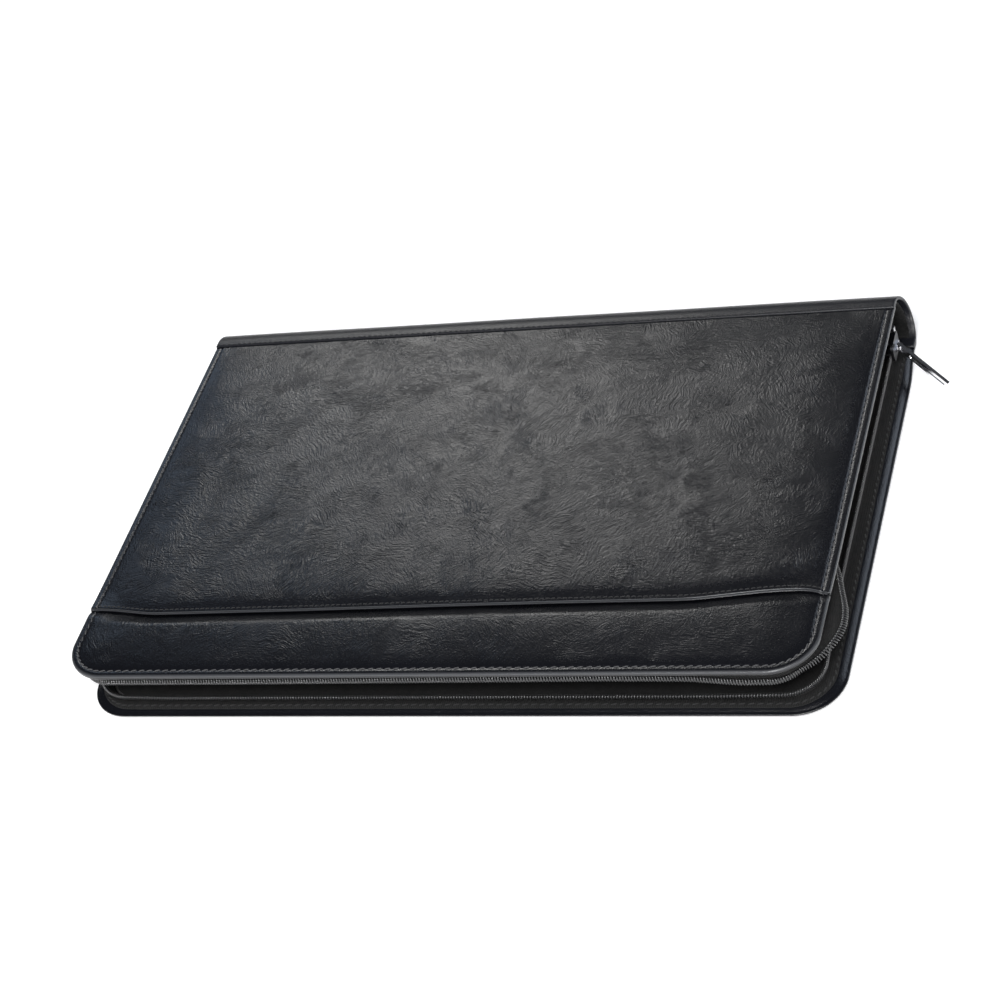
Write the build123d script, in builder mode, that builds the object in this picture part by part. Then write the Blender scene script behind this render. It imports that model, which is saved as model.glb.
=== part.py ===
from build123d import *
from math import cos, radians, sin
import os

# Zip-round portfolio case for A4 sheets. It lies on its back cover, closed flat, with the
# zip run fully open and its slider parked beside the spine.
# Millimetres. +X runs along the spine, +Y from the opening edge to the spine, +Z up.
# Origin: the middle of the footprint, on the surface that the case rests on.

# ---- driving dimensions ----
LENGTH = 350.0          # each cover, along the spine
DEPTH = 242.0           # opening edge to the back of the rounded spine
SPINE_RADIUS = 13.7     # outside of the spine strip
CORNER = 21.0           # the two corners of each cover at the opening edge
SKEW = 5.0              # the soft front cover has settled this far towards -X
MOUTH_Y = -80.5         # hem of the front panel, the mouth of the outside slip pocket

LEATHER = 0.9
FOAM = 0.8              # padding of the back cover, and under the front cover's rim
BOARD = 1.6
LINING = 0.5
TAPE = 0.6
POCKET = 0.7            # inside pocket panels
POCKET_SHEET = 0.4      # inner wall of the outside slip pocket
HEM = 8.8               # leather turned in round the edge of a cover
PANEL_RISE = 2.4        # crown of the padded front panel
STRIP_RISE = 1.2        # crown of the padded strip in front of the pocket's mouth
CROWN_EDGE = 5.0        # flat stitched border outside a crown
CROWN_RUN = 20.0        # slope from that border up to the flat of the crown

COIL_WIDTH = 2.6        # one side of the nylon coil, up the tape
COIL_THICK = 1.4        # coil, out from the tape
TAPE_INSET = 7.8        # outer face of the standing tape, in from the cover's edge
LOWER_TAPE_TOP = 10.8
LOWER_COIL_LOW = 9.4
UPPER_TAPE_LOW = 19.4
UPPER_COIL_LOW = 18.0
TAPE_REAR = 104.5       # the tapes end short of the spine
COIL_REAR = 101.0

BODY_GAP = 0.3          # between pieces that move apart
FIT_GAP = 0.2           # between soft layers of one cover

# ---- places worked out from them ----
FRONT = -DEPTH / 2
BEND_Y = DEPTH / 2 - SPINE_RADIUS
MID_Z = SPINE_RADIUS
RIM_TOP = 2 * SPINE_RADIUS - LEATHER
PANEL_REAR = BEND_Y - FIT_GAP
SEAM_Y = BEND_Y - 1.8

SKIN_IN = LEATHER                  # depths into a cover from its outer rim
PAD_IN = SKIN_IN + FOAM
BOARD_IN = PAD_IN + BOARD
LINING_IN = BOARD_IN + LINING
HEM_IN = PAD_IN + LEATHER
TAPE_IN = HEM_IN + TAPE
POCKET_IN = LINING_IN + POCKET
TAPE_FACE = TAPE_INSET - COIL_THICK


def back_level(height):
    """Work plane of the back cover, this far above the table."""
    return Plane((SKEW / 2, 0, height))


def front_level(depth):
    """Work plane of the front cover, this far below its outer rim."""
    return Plane((-SKEW / 2, 0, RIM_TOP - depth))


def cover_plan(inset, rear):
    """Plan of one layer of a cover: square at the spine, round at the opening edge."""
    half = LENGTH / 2 - inset
    low = FRONT + inset
    radius = max(CORNER - inset, 1.0)
    with BuildSketch() as plan:
        with BuildLine():
            Line((-half, low + radius), (-half, rear))
            Line((-half, rear), (half, rear))
            Line((half, rear), (half, low + radius))
            RadiusArc((half, low + radius), (half - radius, low), radius)
            Line((half - radius, low), (-half + radius, low))
            RadiusArc((-half + radius, low), (-half, low + radius), radius)
        make_face()
    return plan.sketch


def edge_band(outer, inner, rear):
    """Plan of a band that follows the three open sides, between two insets."""
    outside = cover_plan(outer, rear)
    inside = cover_plan(inner, rear)
    with BuildSketch() as band:
        add(outside)
        add(inside, mode=Mode.SUBTRACT)
    return band.sketch


def crown(base, rise, front, rear, front_run, rear_run, corner=3.0):
    """Padded form of the front cover: a low dome with a flat top, its base at a depth."""
    wide = LENGTH - 2 * CROWN_EDGE
    top_front = front + front_run
    top_rear = rear - rear_run
    top_corner = min(corner, 5.0)
    with BuildPart() as dome:
        with BuildSketch(front_level(base)):
            with Locations((0, (front + rear) / 2)):
                RectangleRounded(wide, rear - front, corner)
        with BuildSketch(front_level(base - rise)):
            with Locations((0, (top_front + top_rear) / 2)):
                RectangleRounded(wide - 2 * CROWN_RUN, top_rear - top_front, top_corner)
        loft()
    return dome.part


def spine_plan(outer, inner, start, end):
    """End view of one layer of the spine: a ring sector, angles from level, in degrees."""
    with BuildSketch() as sector:
        with BuildLine():
            CenterArc((BEND_Y, MID_Z), outer, start, end - start)
            CenterArc((BEND_Y, MID_Z), inner, start, end - start)
            for angle in (start, end):
                along = (cos(radians(angle)), sin(radians(angle)))
                Line(
                    (BEND_Y + inner * along[0], MID_Z + inner * along[1]),
                    (BEND_Y + outer * along[0], MID_Z + outer * along[1]),
                )
        make_face()
    return sector.sketch


def end_view(shift):
    """Upright work plane across the case, at the -X end of a spine piece."""
    return Plane((shift - LENGTH / 2, 0, 0), x_dir=(0, 1, 0), z_dir=(1, 0, 0))


def finish(piece, name):
    """Name a finished piece and write its own file."""
    piece.part.label = name
    export_step(piece.part, f"parts/{name}.step")


os.makedirs("parts", exist_ok=True)

# ================= back cover =================

# Outer leather: a skin with its edge turned up and in round three sides.
back_skin = cover_plan(0, SEAM_Y - FIT_GAP)
turned_edge = edge_band(0, LEATHER, SEAM_Y - FIT_GAP)
turned_hem = edge_band(0, HEM, SEAM_Y - FIT_GAP)
with BuildPart() as back_leather:
    with BuildSketch(back_level(0)):
        add(back_skin)
    extrude(amount=LEATHER)
    chamfer(back_leather.edges().group_by(Axis.Z)[0], 0.5)
    with BuildSketch(back_level(LEATHER)):
        add(turned_edge)
    extrude(amount=HEM_IN - LEATHER)
    with BuildSketch(back_level(PAD_IN)):
        add(turned_hem)
    extrude(amount=LEATHER)
finish(back_leather, "back_leather")

back_pad_plan = cover_plan(LEATHER, SEAM_Y - FIT_GAP)
with BuildPart() as back_foam:
    with BuildSketch(back_level(SKIN_IN)):
        add(back_pad_plan)
    extrude(amount=FOAM)
finish(back_foam, "back_foam")

board_plan = cover_plan(HEM + FIT_GAP, SEAM_Y - FIT_GAP)
with BuildPart() as back_board:
    with BuildSketch(back_level(PAD_IN)):
        add(board_plan)
    extrude(amount=BOARD)
finish(back_board, "back_board")

# Lining: stops at the foot of the zip tape, and turns up into the spine at the rear.
lining_plan = cover_plan(TAPE_INSET + TAPE + FIT_GAP, SEAM_Y)
with BuildPart() as back_lining:
    with BuildSketch(back_level(BOARD_IN)):
        add(lining_plan)
    extrude(amount=LINING)
finish(back_lining, "back_lining")

# ================= lower half of the zip =================

tape_foot = edge_band(1.5, TAPE_INSET + TAPE, TAPE_REAR)
tape_wall = edge_band(TAPE_INSET, TAPE_INSET + TAPE, TAPE_REAR)
coil_band = edge_band(TAPE_FACE, TAPE_INSET, COIL_REAR)
with BuildPart() as lower_zip_tape:
    with BuildSketch(back_level(HEM_IN)):
        add(tape_foot)
    extrude(amount=TAPE)
    with BuildSketch(back_level(TAPE_IN)):
        add(tape_wall)
    extrude(amount=LOWER_TAPE_TOP - TAPE_IN)
finish(lower_zip_tape, "lower_zip_tape")

with BuildPart() as lower_zip_coil:
    with BuildSketch(back_level(LOWER_COIL_LOW)):
        add(coil_band)
    extrude(amount=COIL_WIDTH)
finish(lower_zip_coil, "lower_zip_coil")

# Bottom stop: a clip over the right-hand end of the coil, tall enough to join both tapes.
STOP_LONG = 2.4
STOP_HALF = 4.0
tape_x = LENGTH / 2 - TAPE_INSET - TAPE / 2
stop_x = SKEW / 2 + tape_x
with BuildPart() as zip_bottom_stop:
    with BuildSketch(Plane.XY.offset(MID_Z - STOP_HALF - 0.5)):
        with Locations((stop_x + 0.4, COIL_REAR + FIT_GAP + STOP_LONG / 2)):
            RectangleRounded(3.0, STOP_LONG, 0.6)
    extrude(amount=2 * STOP_HALF)
    with BuildSketch(Plane.XY):
        with Locations((stop_x, COIL_REAR)):
            Rectangle(TAPE + 0.1, 4 * STOP_LONG)
    extrude(amount=LOWER_TAPE_TOP + 0.1, mode=Mode.SUBTRACT)
finish(zip_bottom_stop, "zip_bottom_stop")


def top_stop(x, low):
    """Small metal clip pressed over the left-hand end of one coil."""
    with BuildPart() as clip:
        with BuildSketch(Plane.XY.offset(low)):
            with Locations((x - COIL_THICK / 2 - TAPE / 2, COIL_REAR + FIT_GAP + 1)):
                RectangleRounded(COIL_THICK, 2, 0.5)
        extrude(amount=COIL_WIDTH)
    return clip


lower_top_stop = top_stop(SKEW / 2 - tape_x, LOWER_COIL_LOW)
finish(lower_top_stop, "lower_top_stop")

# ================= inside of the back cover =================

# Pocket that takes the back board of a writing pad, open towards +X.
PAD_MOUTH_X = -10.0
PAD_LEFT_X = -163.0
PAD_HALF = 97.0
TRIM = 5.0
with BuildPart() as pad_pocket:
    with BuildSketch(back_level(LINING_IN)):
        with Locations(((PAD_LEFT_X + PAD_MOUTH_X) / 2, -6)):
            RectangleRounded(PAD_MOUTH_X - PAD_LEFT_X, 2 * PAD_HALF, 4)
    extrude(amount=POCKET)
finish(pad_pocket, "pad_pocket")

with BuildPart() as pad_pocket_trim:
    with BuildSketch(back_level(POCKET_IN)):
        with Locations((PAD_MOUTH_X - TRIM / 2, -6)):
            Rectangle(TRIM, 2 * PAD_HALF - 8)
    extrude(amount=0.5)
finish(pad_pocket_trim, "pad_pocket_trim")

# ================= spine =================

# The strip over the spine is one piece of leather with a board and a lining behind it.
# It is drawn in three sectors, which fold on lines in its outer face at 45 degrees
# below and above level.
STIFFENER = 0.8
SPLIT = 45.0
split_gap = 0.7          # degrees each side, about half of BODY_GAP
strip_in = SPINE_RADIUS - LEATHER
stiff_in = strip_in - STIFFENER
spine_lining_in = stiff_in - LINING
sectors = {
    "back": (-90.0, -SPLIT - split_gap, SKEW / 2),
    "middle": (-SPLIT + split_gap, SPLIT - split_gap, 0.0),
    "front": (SPLIT + split_gap, 90.0, -SKEW / 2),
}
for where, (start, end, shift) in sectors.items():
    strip_plan = spine_plan(SPINE_RADIUS, strip_in, start, end)
    stiffener_plan = spine_plan(strip_in, stiff_in, start, end)
    fabric_plan = spine_plan(stiff_in, spine_lining_in, start, end)
    with BuildPart() as strip:
        with BuildSketch(end_view(shift)):
            add(strip_plan)
            # flat tab out to the seam on the cover
            if where == "back":
                with Locations(((SEAM_Y + BEND_Y) / 2, LEATHER / 2)):
                    Rectangle(BEND_Y - SEAM_Y, LEATHER)
            if where == "front":
                with Locations(((SEAM_Y + BEND_Y) / 2, 2 * MID_Z - LEATHER / 2)):
                    Rectangle(BEND_Y - SEAM_Y, LEATHER)
        extrude(amount=LENGTH)
    finish(strip, f"spine_strip_{where}")
    with BuildPart() as stiffener:
        with BuildSketch(end_view(shift + 3)):
            add(stiffener_plan)
        extrude(amount=LENGTH - 6)
    finish(stiffener, f"spine_stiffener_{where}")
    with BuildPart() as fabric:
        with BuildSketch(end_view(shift + 3)):
            add(fabric_plan)
        extrude(amount=LENGTH - 6)
    finish(fabric, f"spine_lining_{where}")

# ================= front cover =================

with BuildPart() as front_board:
    with BuildSketch(front_level(BOARD_IN)):
        add(board_plan)
    extrude(amount=BOARD)
finish(front_board, "front_board")

with BuildPart() as front_lining:
    with BuildSketch(front_level(LINING_IN)):
        add(lining_plan)
    extrude(amount=LINING)
finish(front_lining, "front_lining")

# Padding: a thin border under the rim, a crown under the panel, and a lower crown under
# the strip in front of the slip pocket's mouth.
PANEL_FRONT = MOUTH_Y
PANEL_FAR = SEAM_Y - CROWN_EDGE
STRIP_FRONT = FRONT + CROWN_EDGE
STRIP_FAR = MOUTH_Y - 2.0
STRIP_CORNER = CORNER - CROWN_EDGE
panel_foam = crown(PAD_IN, PANEL_RISE, PANEL_FRONT + 2, PANEL_FAR, 2, CROWN_RUN)
strip_foam = crown(SKIN_IN, STRIP_RISE, STRIP_FRONT, STRIP_FAR, 12, 10, STRIP_CORNER)
foam_border = edge_band(LEATHER, CROWN_EDGE, PANEL_REAR)
foam_strip_plan = cover_plan(LEATHER, STRIP_FAR)
foam_base_plan = cover_plan(LEATHER, PANEL_REAR)
with BuildPart() as front_foam:
    with BuildSketch(front_level(PAD_IN)):
        add(foam_border)
        add(foam_strip_plan)
    extrude(amount=FOAM)
    with BuildSketch(front_level(PAD_IN)):
        add(foam_base_plan)
    extrude(amount=POCKET_SHEET)
    add(panel_foam)
    add(strip_foam)
finish(front_foam, "front_foam")

# Thin sheet over the padding: the inner wall of the slip pocket.
pocket_wall = crown(PAD_IN - POCKET_SHEET, PANEL_RISE, PANEL_FRONT + 2, PANEL_FAR, 2, CROWN_RUN)
with BuildPart() as slip_pocket_lining:
    add(pocket_wall)
    add(panel_foam, mode=Mode.SUBTRACT)
finish(slip_pocket_lining, "slip_pocket_lining")

# Front panel: the large outer leather, its sides turned in, its front hem left free as
# the mouth of the slip pocket.
panel_outer = crown(0, PANEL_RISE, PANEL_FRONT, PANEL_FAR, 0.5, CROWN_RUN)
panel_inner = crown(SKIN_IN, PANEL_RISE, PANEL_FRONT - 1.5, PANEL_FAR, 0, CROWN_RUN)
skin_plan = cover_plan(0, PANEL_REAR)
rim_wall = edge_band(0, LEATHER, PANEL_REAR)
rim_hem = edge_band(0, HEM, PANEL_REAR)
with BuildPart() as front_panel:
    with BuildSketch(front_level(SKIN_IN)):
        add(skin_plan)
    extrude(amount=LEATHER)
    with BuildSketch(front_level(HEM_IN)):
        add(rim_wall)
    extrude(amount=HEM_IN - SKIN_IN)
    with BuildSketch(front_level(HEM_IN)):
        add(rim_hem)
    extrude(amount=LEATHER)
    split(bisect_by=Plane((0, MOUTH_Y, 0), x_dir=(1, 0, 0), z_dir=(0, 1, 0)))
    add(panel_outer)
    add(panel_inner, mode=Mode.SUBTRACT)
finish(front_panel, "front_panel")

# Strip between the pocket's mouth and the opening edge.
strip_outer = crown(0, STRIP_RISE, STRIP_FRONT, STRIP_FAR, 12, 10, STRIP_CORNER)
with BuildPart() as front_strip:
    with BuildSketch(front_level(SKIN_IN)):
        add(skin_plan)
    extrude(amount=LEATHER)
    with BuildSketch(front_level(HEM_IN)):
        add(rim_wall)
    extrude(amount=HEM_IN - SKIN_IN)
    with BuildSketch(front_level(HEM_IN)):
        add(rim_hem)
    extrude(amount=LEATHER)
    split(bisect_by=Plane((0, MOUTH_Y - FIT_GAP, 0), x_dir=(1, 0, 0), z_dir=(0, -1, 0)))
    add(strip_outer)
    add(strip_foam, mode=Mode.SUBTRACT)
finish(front_strip, "front_strip")

# ================= upper half of the zip =================

with BuildPart() as upper_zip_tape:
    with BuildSketch(front_level(TAPE_IN)):
        add(tape_foot)
    extrude(amount=TAPE)
    with BuildSketch(Plane((-SKEW / 2, 0, UPPER_TAPE_LOW))):
        add(tape_wall)
    extrude(amount=RIM_TOP - TAPE_IN - UPPER_TAPE_LOW)
finish(upper_zip_tape, "upper_zip_tape")

with BuildPart() as upper_zip_coil:
    with BuildSketch(Plane((-SKEW / 2, 0, UPPER_COIL_LOW))):
        add(coil_band)
    extrude(amount=COIL_WIDTH)
finish(upper_zip_coil, "upper_zip_coil")

upper_top_stop = top_stop(-SKEW / 2 - tape_x, UPPER_COIL_LOW)
finish(upper_top_stop, "upper_top_stop")

# ================= inside of the front cover =================

DOC_MOUTH_X = 40.0
DOC_LEFT_X = -163.0
DOC_HALF = 99.0
with BuildPart() as document_pocket:
    with BuildSketch(front_level(POCKET_IN)):
        with Locations(((DOC_LEFT_X + DOC_MOUTH_X) / 2, -6)):
            RectangleRounded(DOC_MOUTH_X - DOC_LEFT_X, 2 * DOC_HALF, 4)
    extrude(amount=POCKET)
finish(document_pocket, "document_pocket")

with BuildPart() as document_pocket_trim:
    with BuildSketch(front_level(POCKET_IN + 0.5)):
        with Locations((DOC_MOUTH_X - TRIM / 2, -6)):
            Rectangle(TRIM, 2 * DOC_HALF - 8)
    extrude(amount=0.5)
finish(document_pocket_trim, "document_pocket_trim")

# Three card slots, stacked and stepped, open towards +X.
CARD_LEFT_X = 60.0
CARD_SLOT = 44.0
CARD_STEP = 14.0
CARD_WIDE = 96.0
CARD_Y = -54.0
CARD_THICK = 0.6
for number in (1, 2, 3):
    depth = LINING_IN + (4 - number) * CARD_THICK
    height = CARD_SLOT + (number - 1) * CARD_STEP
    with BuildPart() as card_slot:
        with BuildSketch(front_level(depth)):
            with Locations((CARD_LEFT_X + height / 2, CARD_Y)):
                RectangleRounded(height, CARD_WIDE, 2)
        extrude(amount=CARD_THICK)
    finish(card_slot, f"card_slot_{number}")

# Elastic pen loop on a stitched base, its bore along the spine.
LOOP_LONG = 32.0
LOOP_RADIUS = 6.0
LOOP_WALL = 0.9
LOOP_Y = 84.0
LOOP_X = 70.0
loop_z = RIM_TOP - LINING_IN - LOOP_RADIUS
with BuildPart() as pen_loop:
    with BuildSketch(Plane((LOOP_X, 0, 0), x_dir=(0, 1, 0), z_dir=(1, 0, 0))):
        with Locations((LOOP_Y, loop_z)):
            Circle(LOOP_RADIUS)
        with Locations((LOOP_Y, loop_z + LOOP_RADIUS - LOOP_WALL / 2)):
            Rectangle(2.4 * LOOP_RADIUS, LOOP_WALL)
        with Locations((LOOP_Y, loop_z)):
            Circle(LOOP_RADIUS - LOOP_WALL, mode=Mode.SUBTRACT)
    extrude(amount=LOOP_LONG)
finish(pen_loop, "pen_loop")

# ================= slider and pull =================

# Slider of a number 5 coil zip, parked against the bottom stop. Its length lies along Y,
# its width is upright, and its plates stand inside and outside the tape.
SLIDER_Y = COIL_REAR - 7.5
SLIDER_LONG = 13.0
SLIDER_WIDE = 9.4
PLATE = 1.2
slider_mid_z = LOWER_COIL_LOW + COIL_WIDTH + 0.3 + 0.7
tape_in_x = SKEW / 2 + LENGTH / 2 - TAPE_INSET - TAPE
coil_out_x = SKEW / 2 + LENGTH / 2 - TAPE_FACE
inner_plate_x = tape_in_x - BODY_GAP - PLATE
outer_plate_x = coil_out_x + BODY_GAP
lip_x = tape_in_x + TAPE + BODY_GAP
with BuildPart() as slider_body:
    for x in (inner_plate_x, outer_plate_x):
        with BuildSketch(Plane.YZ.offset(x)):
            with Locations((SLIDER_Y, slider_mid_z)):
                RectangleRounded(SLIDER_LONG, SLIDER_WIDE, 2.2)
        extrude(amount=PLATE)
    # the lips that hold the two coils in
    with BuildSketch(Plane.YZ.offset(lip_x)):
        for side in (-1, 1):
            with Locations((SLIDER_Y, slider_mid_z + side * (SLIDER_WIDE - 0.8) / 2)):
                Rectangle(SLIDER_LONG - 4.4, 0.8)
    extrude(amount=outer_plate_x - lip_x)
    # the wedge that parts the coils, at the end away from the stop
    with BuildSketch(Plane.YZ.offset(inner_plate_x + PLATE)):
        with Locations((SLIDER_Y - SLIDER_LONG / 2 + 2.4, slider_mid_z)):
            Ellipse(2.2, 0.65)
    extrude(amount=outer_plate_x - inner_plate_x - PLATE)
finish(slider_body, "slider_body")

# Bail: the ring on the outer plate that carries the pull.
PIN = 0.6
BAIL_HOLE = 0.95
BAIL_OUT = 1.9
BAIL_THICK = 1.6
pivot_x = outer_plate_x + PLATE + 1.4
pivot = (pivot_x, SLIDER_Y, slider_mid_z)
with BuildPart() as slider_bail:
    with BuildSketch(Plane.XY.offset(slider_mid_z - BAIL_THICK / 2)):
        with Locations((pivot_x, SLIDER_Y)):
            Circle(BAIL_OUT)
        with Locations((outer_plate_x + PLATE + 0.45, SLIDER_Y)):
            Rectangle(0.9, 7.4)
        with Locations((pivot_x, SLIDER_Y)):
            Circle(BAIL_HOLE, mode=Mode.SUBTRACT)
        with Locations((outer_plate_x + PLATE - 2, SLIDER_Y)):
            Rectangle(4, 10, mode=Mode.SUBTRACT)
    extrude(amount=BAIL_THICK)
finish(slider_bail, "slider_bail")

# Pull: a slim flat bar, swung out from the tape and drooping a little.
PULL_LONG = 35.0
PULL_WIDE = 4.2
PULL_THICK = 1.5
PULL_SWING = -42.0      # degrees from +X, seen from above
PULL_DROOP = 10.0
swing = radians(PULL_SWING)
droop = radians(PULL_DROOP)
along = (cos(swing) * cos(droop), sin(swing) * cos(droop), -sin(droop))
face = (sin(swing), -cos(swing), 0)
flat = Plane(pivot, x_dir=along, z_dir=face)
EYE_LONG = 2.9
EYE_WIDE = 2.4
with BuildPart() as zip_pull:
    with BuildSketch(flat.offset(-PULL_THICK / 2)):
        with Locations((PULL_LONG / 2 - PIN, 0)):
            RectangleRounded(PULL_LONG, PULL_WIDE, 0.55)
        with Locations(((EYE_LONG - PIN) / 2 - 1, 0)):
            Rectangle(EYE_LONG + PIN + 2, EYE_WIDE, mode=Mode.SUBTRACT)
    extrude(amount=PULL_THICK)
    # long shallow recess on both faces
    for side in (-1, 1):
        with BuildSketch(flat.offset(side * (PULL_THICK / 2 - 0.15) - 0.15)):
            with Locations((PULL_LONG / 2 + 2.6, 0)):
                SlotOverall(PULL_LONG - 11, PULL_WIDE - 2.2)
        extrude(amount=0.3, mode=Mode.SUBTRACT)
    # cross pin through the bail
    with BuildSketch(Plane(pivot, x_dir=along, z_dir=flat.y_dir).offset(-EYE_WIDE / 2 - 0.3)):
        Circle(PIN)
    extrude(amount=EYE_WIDE + 0.6)
finish(zip_pull, "zip_pull")

fold_reach = SPINE_RADIUS * cos(radians(SPLIT))
print("lower fold line y, z:", round(BEND_Y + fold_reach, 3), round(MID_Z - fold_reach, 3))
print("upper fold line y, z:", round(BEND_Y + fold_reach, 3), round(MID_Z + fold_reach, 3))
print("pull pivot:", [round(v, 3) for v in pivot])
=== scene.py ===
import math
import random

import bmesh
import bpy
import numpy as np
from mathutils import Matrix, Vector, noise


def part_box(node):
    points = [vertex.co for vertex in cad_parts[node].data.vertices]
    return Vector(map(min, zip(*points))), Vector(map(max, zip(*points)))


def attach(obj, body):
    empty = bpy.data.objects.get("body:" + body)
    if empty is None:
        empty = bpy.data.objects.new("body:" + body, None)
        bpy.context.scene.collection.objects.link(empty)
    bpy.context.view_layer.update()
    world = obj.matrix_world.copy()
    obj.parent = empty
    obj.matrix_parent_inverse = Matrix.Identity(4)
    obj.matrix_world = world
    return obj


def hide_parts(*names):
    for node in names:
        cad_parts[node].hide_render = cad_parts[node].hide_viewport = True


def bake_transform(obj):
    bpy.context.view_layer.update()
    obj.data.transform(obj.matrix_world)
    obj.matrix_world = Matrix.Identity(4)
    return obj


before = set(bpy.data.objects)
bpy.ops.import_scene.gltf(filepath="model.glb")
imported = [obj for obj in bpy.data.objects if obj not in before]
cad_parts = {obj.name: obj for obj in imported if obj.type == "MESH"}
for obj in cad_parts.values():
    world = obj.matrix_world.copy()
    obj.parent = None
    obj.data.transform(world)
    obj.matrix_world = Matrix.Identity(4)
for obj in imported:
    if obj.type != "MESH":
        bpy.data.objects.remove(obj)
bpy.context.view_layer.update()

# Zip-round portfolio case in padded black leather, lying closed on its back cover.
# Lengths below are in millimetres. Meshes are turned to metres where they are made.
MM = 0.001
scene = bpy.context.scene


def box_mm(node):
    """Lowest and highest corner of a CAD node at rest."""
    low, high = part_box(node)
    return np.array(low) / MM, np.array(high) / MM


# ---------------------------------------------------------------- sizes from the CAD
back_low, back_high = box_mm("back_leather")
panel_low, panel_high = box_mm("front_panel")
strip_low, strip_high = box_mm("front_strip")
bend_low, bend_high = box_mm("spine_strip_middle")
HALF = (back_high[0] - back_low[0]) / 2
FRONT = back_low[1]
BACK_X = (back_high[0] + back_low[0]) / 2
FRONT_X = (strip_high[0] + strip_low[0]) / 2
SPINE_OUT = bend_high[1]
MID_Z = (bend_low[2] + bend_high[2]) / 2
SPINE_R = MID_Z
BEND_Y = SPINE_OUT - SPINE_R
LEATHER = 0.9           # thickness
CORNER = 21.0           # corner radius of the covers
RIM_TOP = 2 * SPINE_R - LEATHER
PANEL_TOP = panel_high[2]
MOUTH_Y = panel_low[1]
SEAM_Y = back_high[1]

RIM_REAR = 104.5        # rear end of a cover's open rim
COIL_REAR = 101.0       # rear end of the coils
CLOTH_HEM = 101.5       # edge of the spine's cloth, on the covers
LINING_IN = 8.6         # a cover's lining, in from its rim
POCKET_STITCH_IN = 2.4  # stitching of the inside pockets, in from their edges
TAPE_FOOT = 0.62        # height of a tape's foot over its underside

# edges, stitching and padding of the leather
EDGE_R = 1.05           # rolled edge of a cover
TURN_IN = 8.6           # leather turned in behind that edge
STITCH_IN = 3.4         # perimeter stitching, in from the edge
STITCH_PITCH = 4.0      # of the perimeter stitching
GROOVE = 0.22           # depth of the stitching's groove
EDGE_FALL = 0.40        # fall from the stitching to the edge
SLOPE = 32.0            # padding slope of the panel, from its stitching
STRIP_RISE = 2.2        # padding of the strip in front of the mouth
GAP_DEPTH = 1.5         # the strip's dip under the pocket's hem
HEM_THICK = 1.8         # the two folded layers at the pocket's mouth
PANEL_EDGE = 2.45       # height of the front panel's rolled sides
GROOVE_WIDE = 0.7
FALL_RUN = 4.4          # the fall starts this far in from the edge
SEAM_EASE = 46.0        # the panel's padding rises over this much from the spine's seam
MOUTH_SINK = 0.46       # share of the padding's height that is lost at the mouth
MOUTH_RUN = 8.0         # and how far behind the mouth it comes back
MOUTH_LIFT = 0.55       # the hem's ends stand up by this much
DIP_START = 8.0         # the strip's dip starts this far in front of the hem
DIP_RUN = 8.6
STRIP_SLOPE = 27.0      # padding slope of the strip, from its stitching
SIDE_SPARE = 1.9        # the back cover's turned edge stands out past its board at each side
FRONT_SPARE = 1.3       # and in front
SIDE_SPARE_RUN = 28.0   # they grow over these lengths, from the spine
FRONT_SPARE_RUN = 40.0  # and from behind the front edge
# The two values above 1 paint a highlight: the leather's colour is blended there towards a lighter
# grey, standing for the lamps' reflection on edges and lips.
PRESSED, HALF_PAINTED_HIGHLIGHT, PAINTED_HIGHLIGHT = 1.0, 1.3, 2.0    # values of "calm", as in leather_material


# ---------------------------------------------------------------- plain geometry tools
def clamp(t):
    return np.clip(t, 0.0, 1.0)


def unit(ways):
    """Vectors brought to length 1."""
    return ways / np.linalg.norm(ways, axis=-1, keepdims=True)


def columns(*parts):
    """Rows of coordinates from their separate columns."""
    return np.stack(parts, axis=1)


def smooth(t):
    """Eased step from 0 to 1."""
    t = clamp(t)
    return t * t * (3 - 2 * t)


def swell(t):
    """Padding profile: steep at the stitching, level on top."""
    return 1 - (1 - clamp(t)) ** 2.2


def keyed(table, at, blur=9.0):
    """Value at a length, from a few (length, value) pairs, with the corners eased."""
    at = np.asarray(at, float)
    keys = np.array(table, float)
    shares = np.linspace(-1, 1, 9)
    weights = 1.0 - 0.8 * np.abs(shares)
    total = sum(
        w * np.interp(at + blur * s, keys[:, 0], keys[:, 1]) for w, s in zip(weights, shares)
    )
    return total / weights.sum()


def wander(x, y, size, height, seed):
    """Slow unevenness of a soft surface."""
    flat = zip(np.ravel(x), np.ravel(y))
    rough = [noise.noise(Vector((a / size, b / size, seed))) for a, b in flat]
    return height * np.array(rough).reshape(np.shape(x))


def spread(low, high, steps, pitch, both=True):
    """Positions from low to high: close together near the ends, then evenly spaced."""
    first = [low + s for s in steps]
    last = [high - s for s in reversed(steps)] if both else [high]
    count = max(2, round((last[0] - first[-1]) / pitch))
    middle = np.linspace(first[-1], last[0], count + 1)
    return np.concatenate([first[:-1], middle, last[1:]])


def rounded(x, y, low, high, front, rear=0.0):
    """Rounds the corners of a rectangle of points, in front and, if asked, behind."""
    nx, ny = x.astype(float).copy(), y.astype(float).copy()
    for sx in (-1, 1):
        for sy, r in ((-1, front), (1, rear)):
            if r <= 0:
                continue
            cx = high[0] - r if sx > 0 else low[0] + r
            cy = high[1] - r if sy > 0 else low[1] + r
            a = sx * (x - cx) / r
            b = sy * (y - cy) / r
            hit = (a > 1e-9) & (b > 1e-9)
            a, b = a[hit], b[hit]
            turn = np.where(a >= b, math.pi / 4 * b / a, math.pi / 2 - math.pi / 4 * a / b)
            reach = np.maximum(a, b) * r
            nx[hit] = cx + sx * reach * np.cos(turn)
            ny[hit] = cy + sy * reach * np.sin(turn)
    return nx, ny


def rim_distance(x, y, corner=CORNER):
    """Distance in from the three open sides of a cover."""
    dx = HALF - np.abs(x)
    dy = y - FRONT
    d = np.minimum(dx, dy)
    bend = (dx < corner) & (dy < corner)
    return np.where(bend, corner - np.hypot(corner - dx, corner - dy), d)


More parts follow.
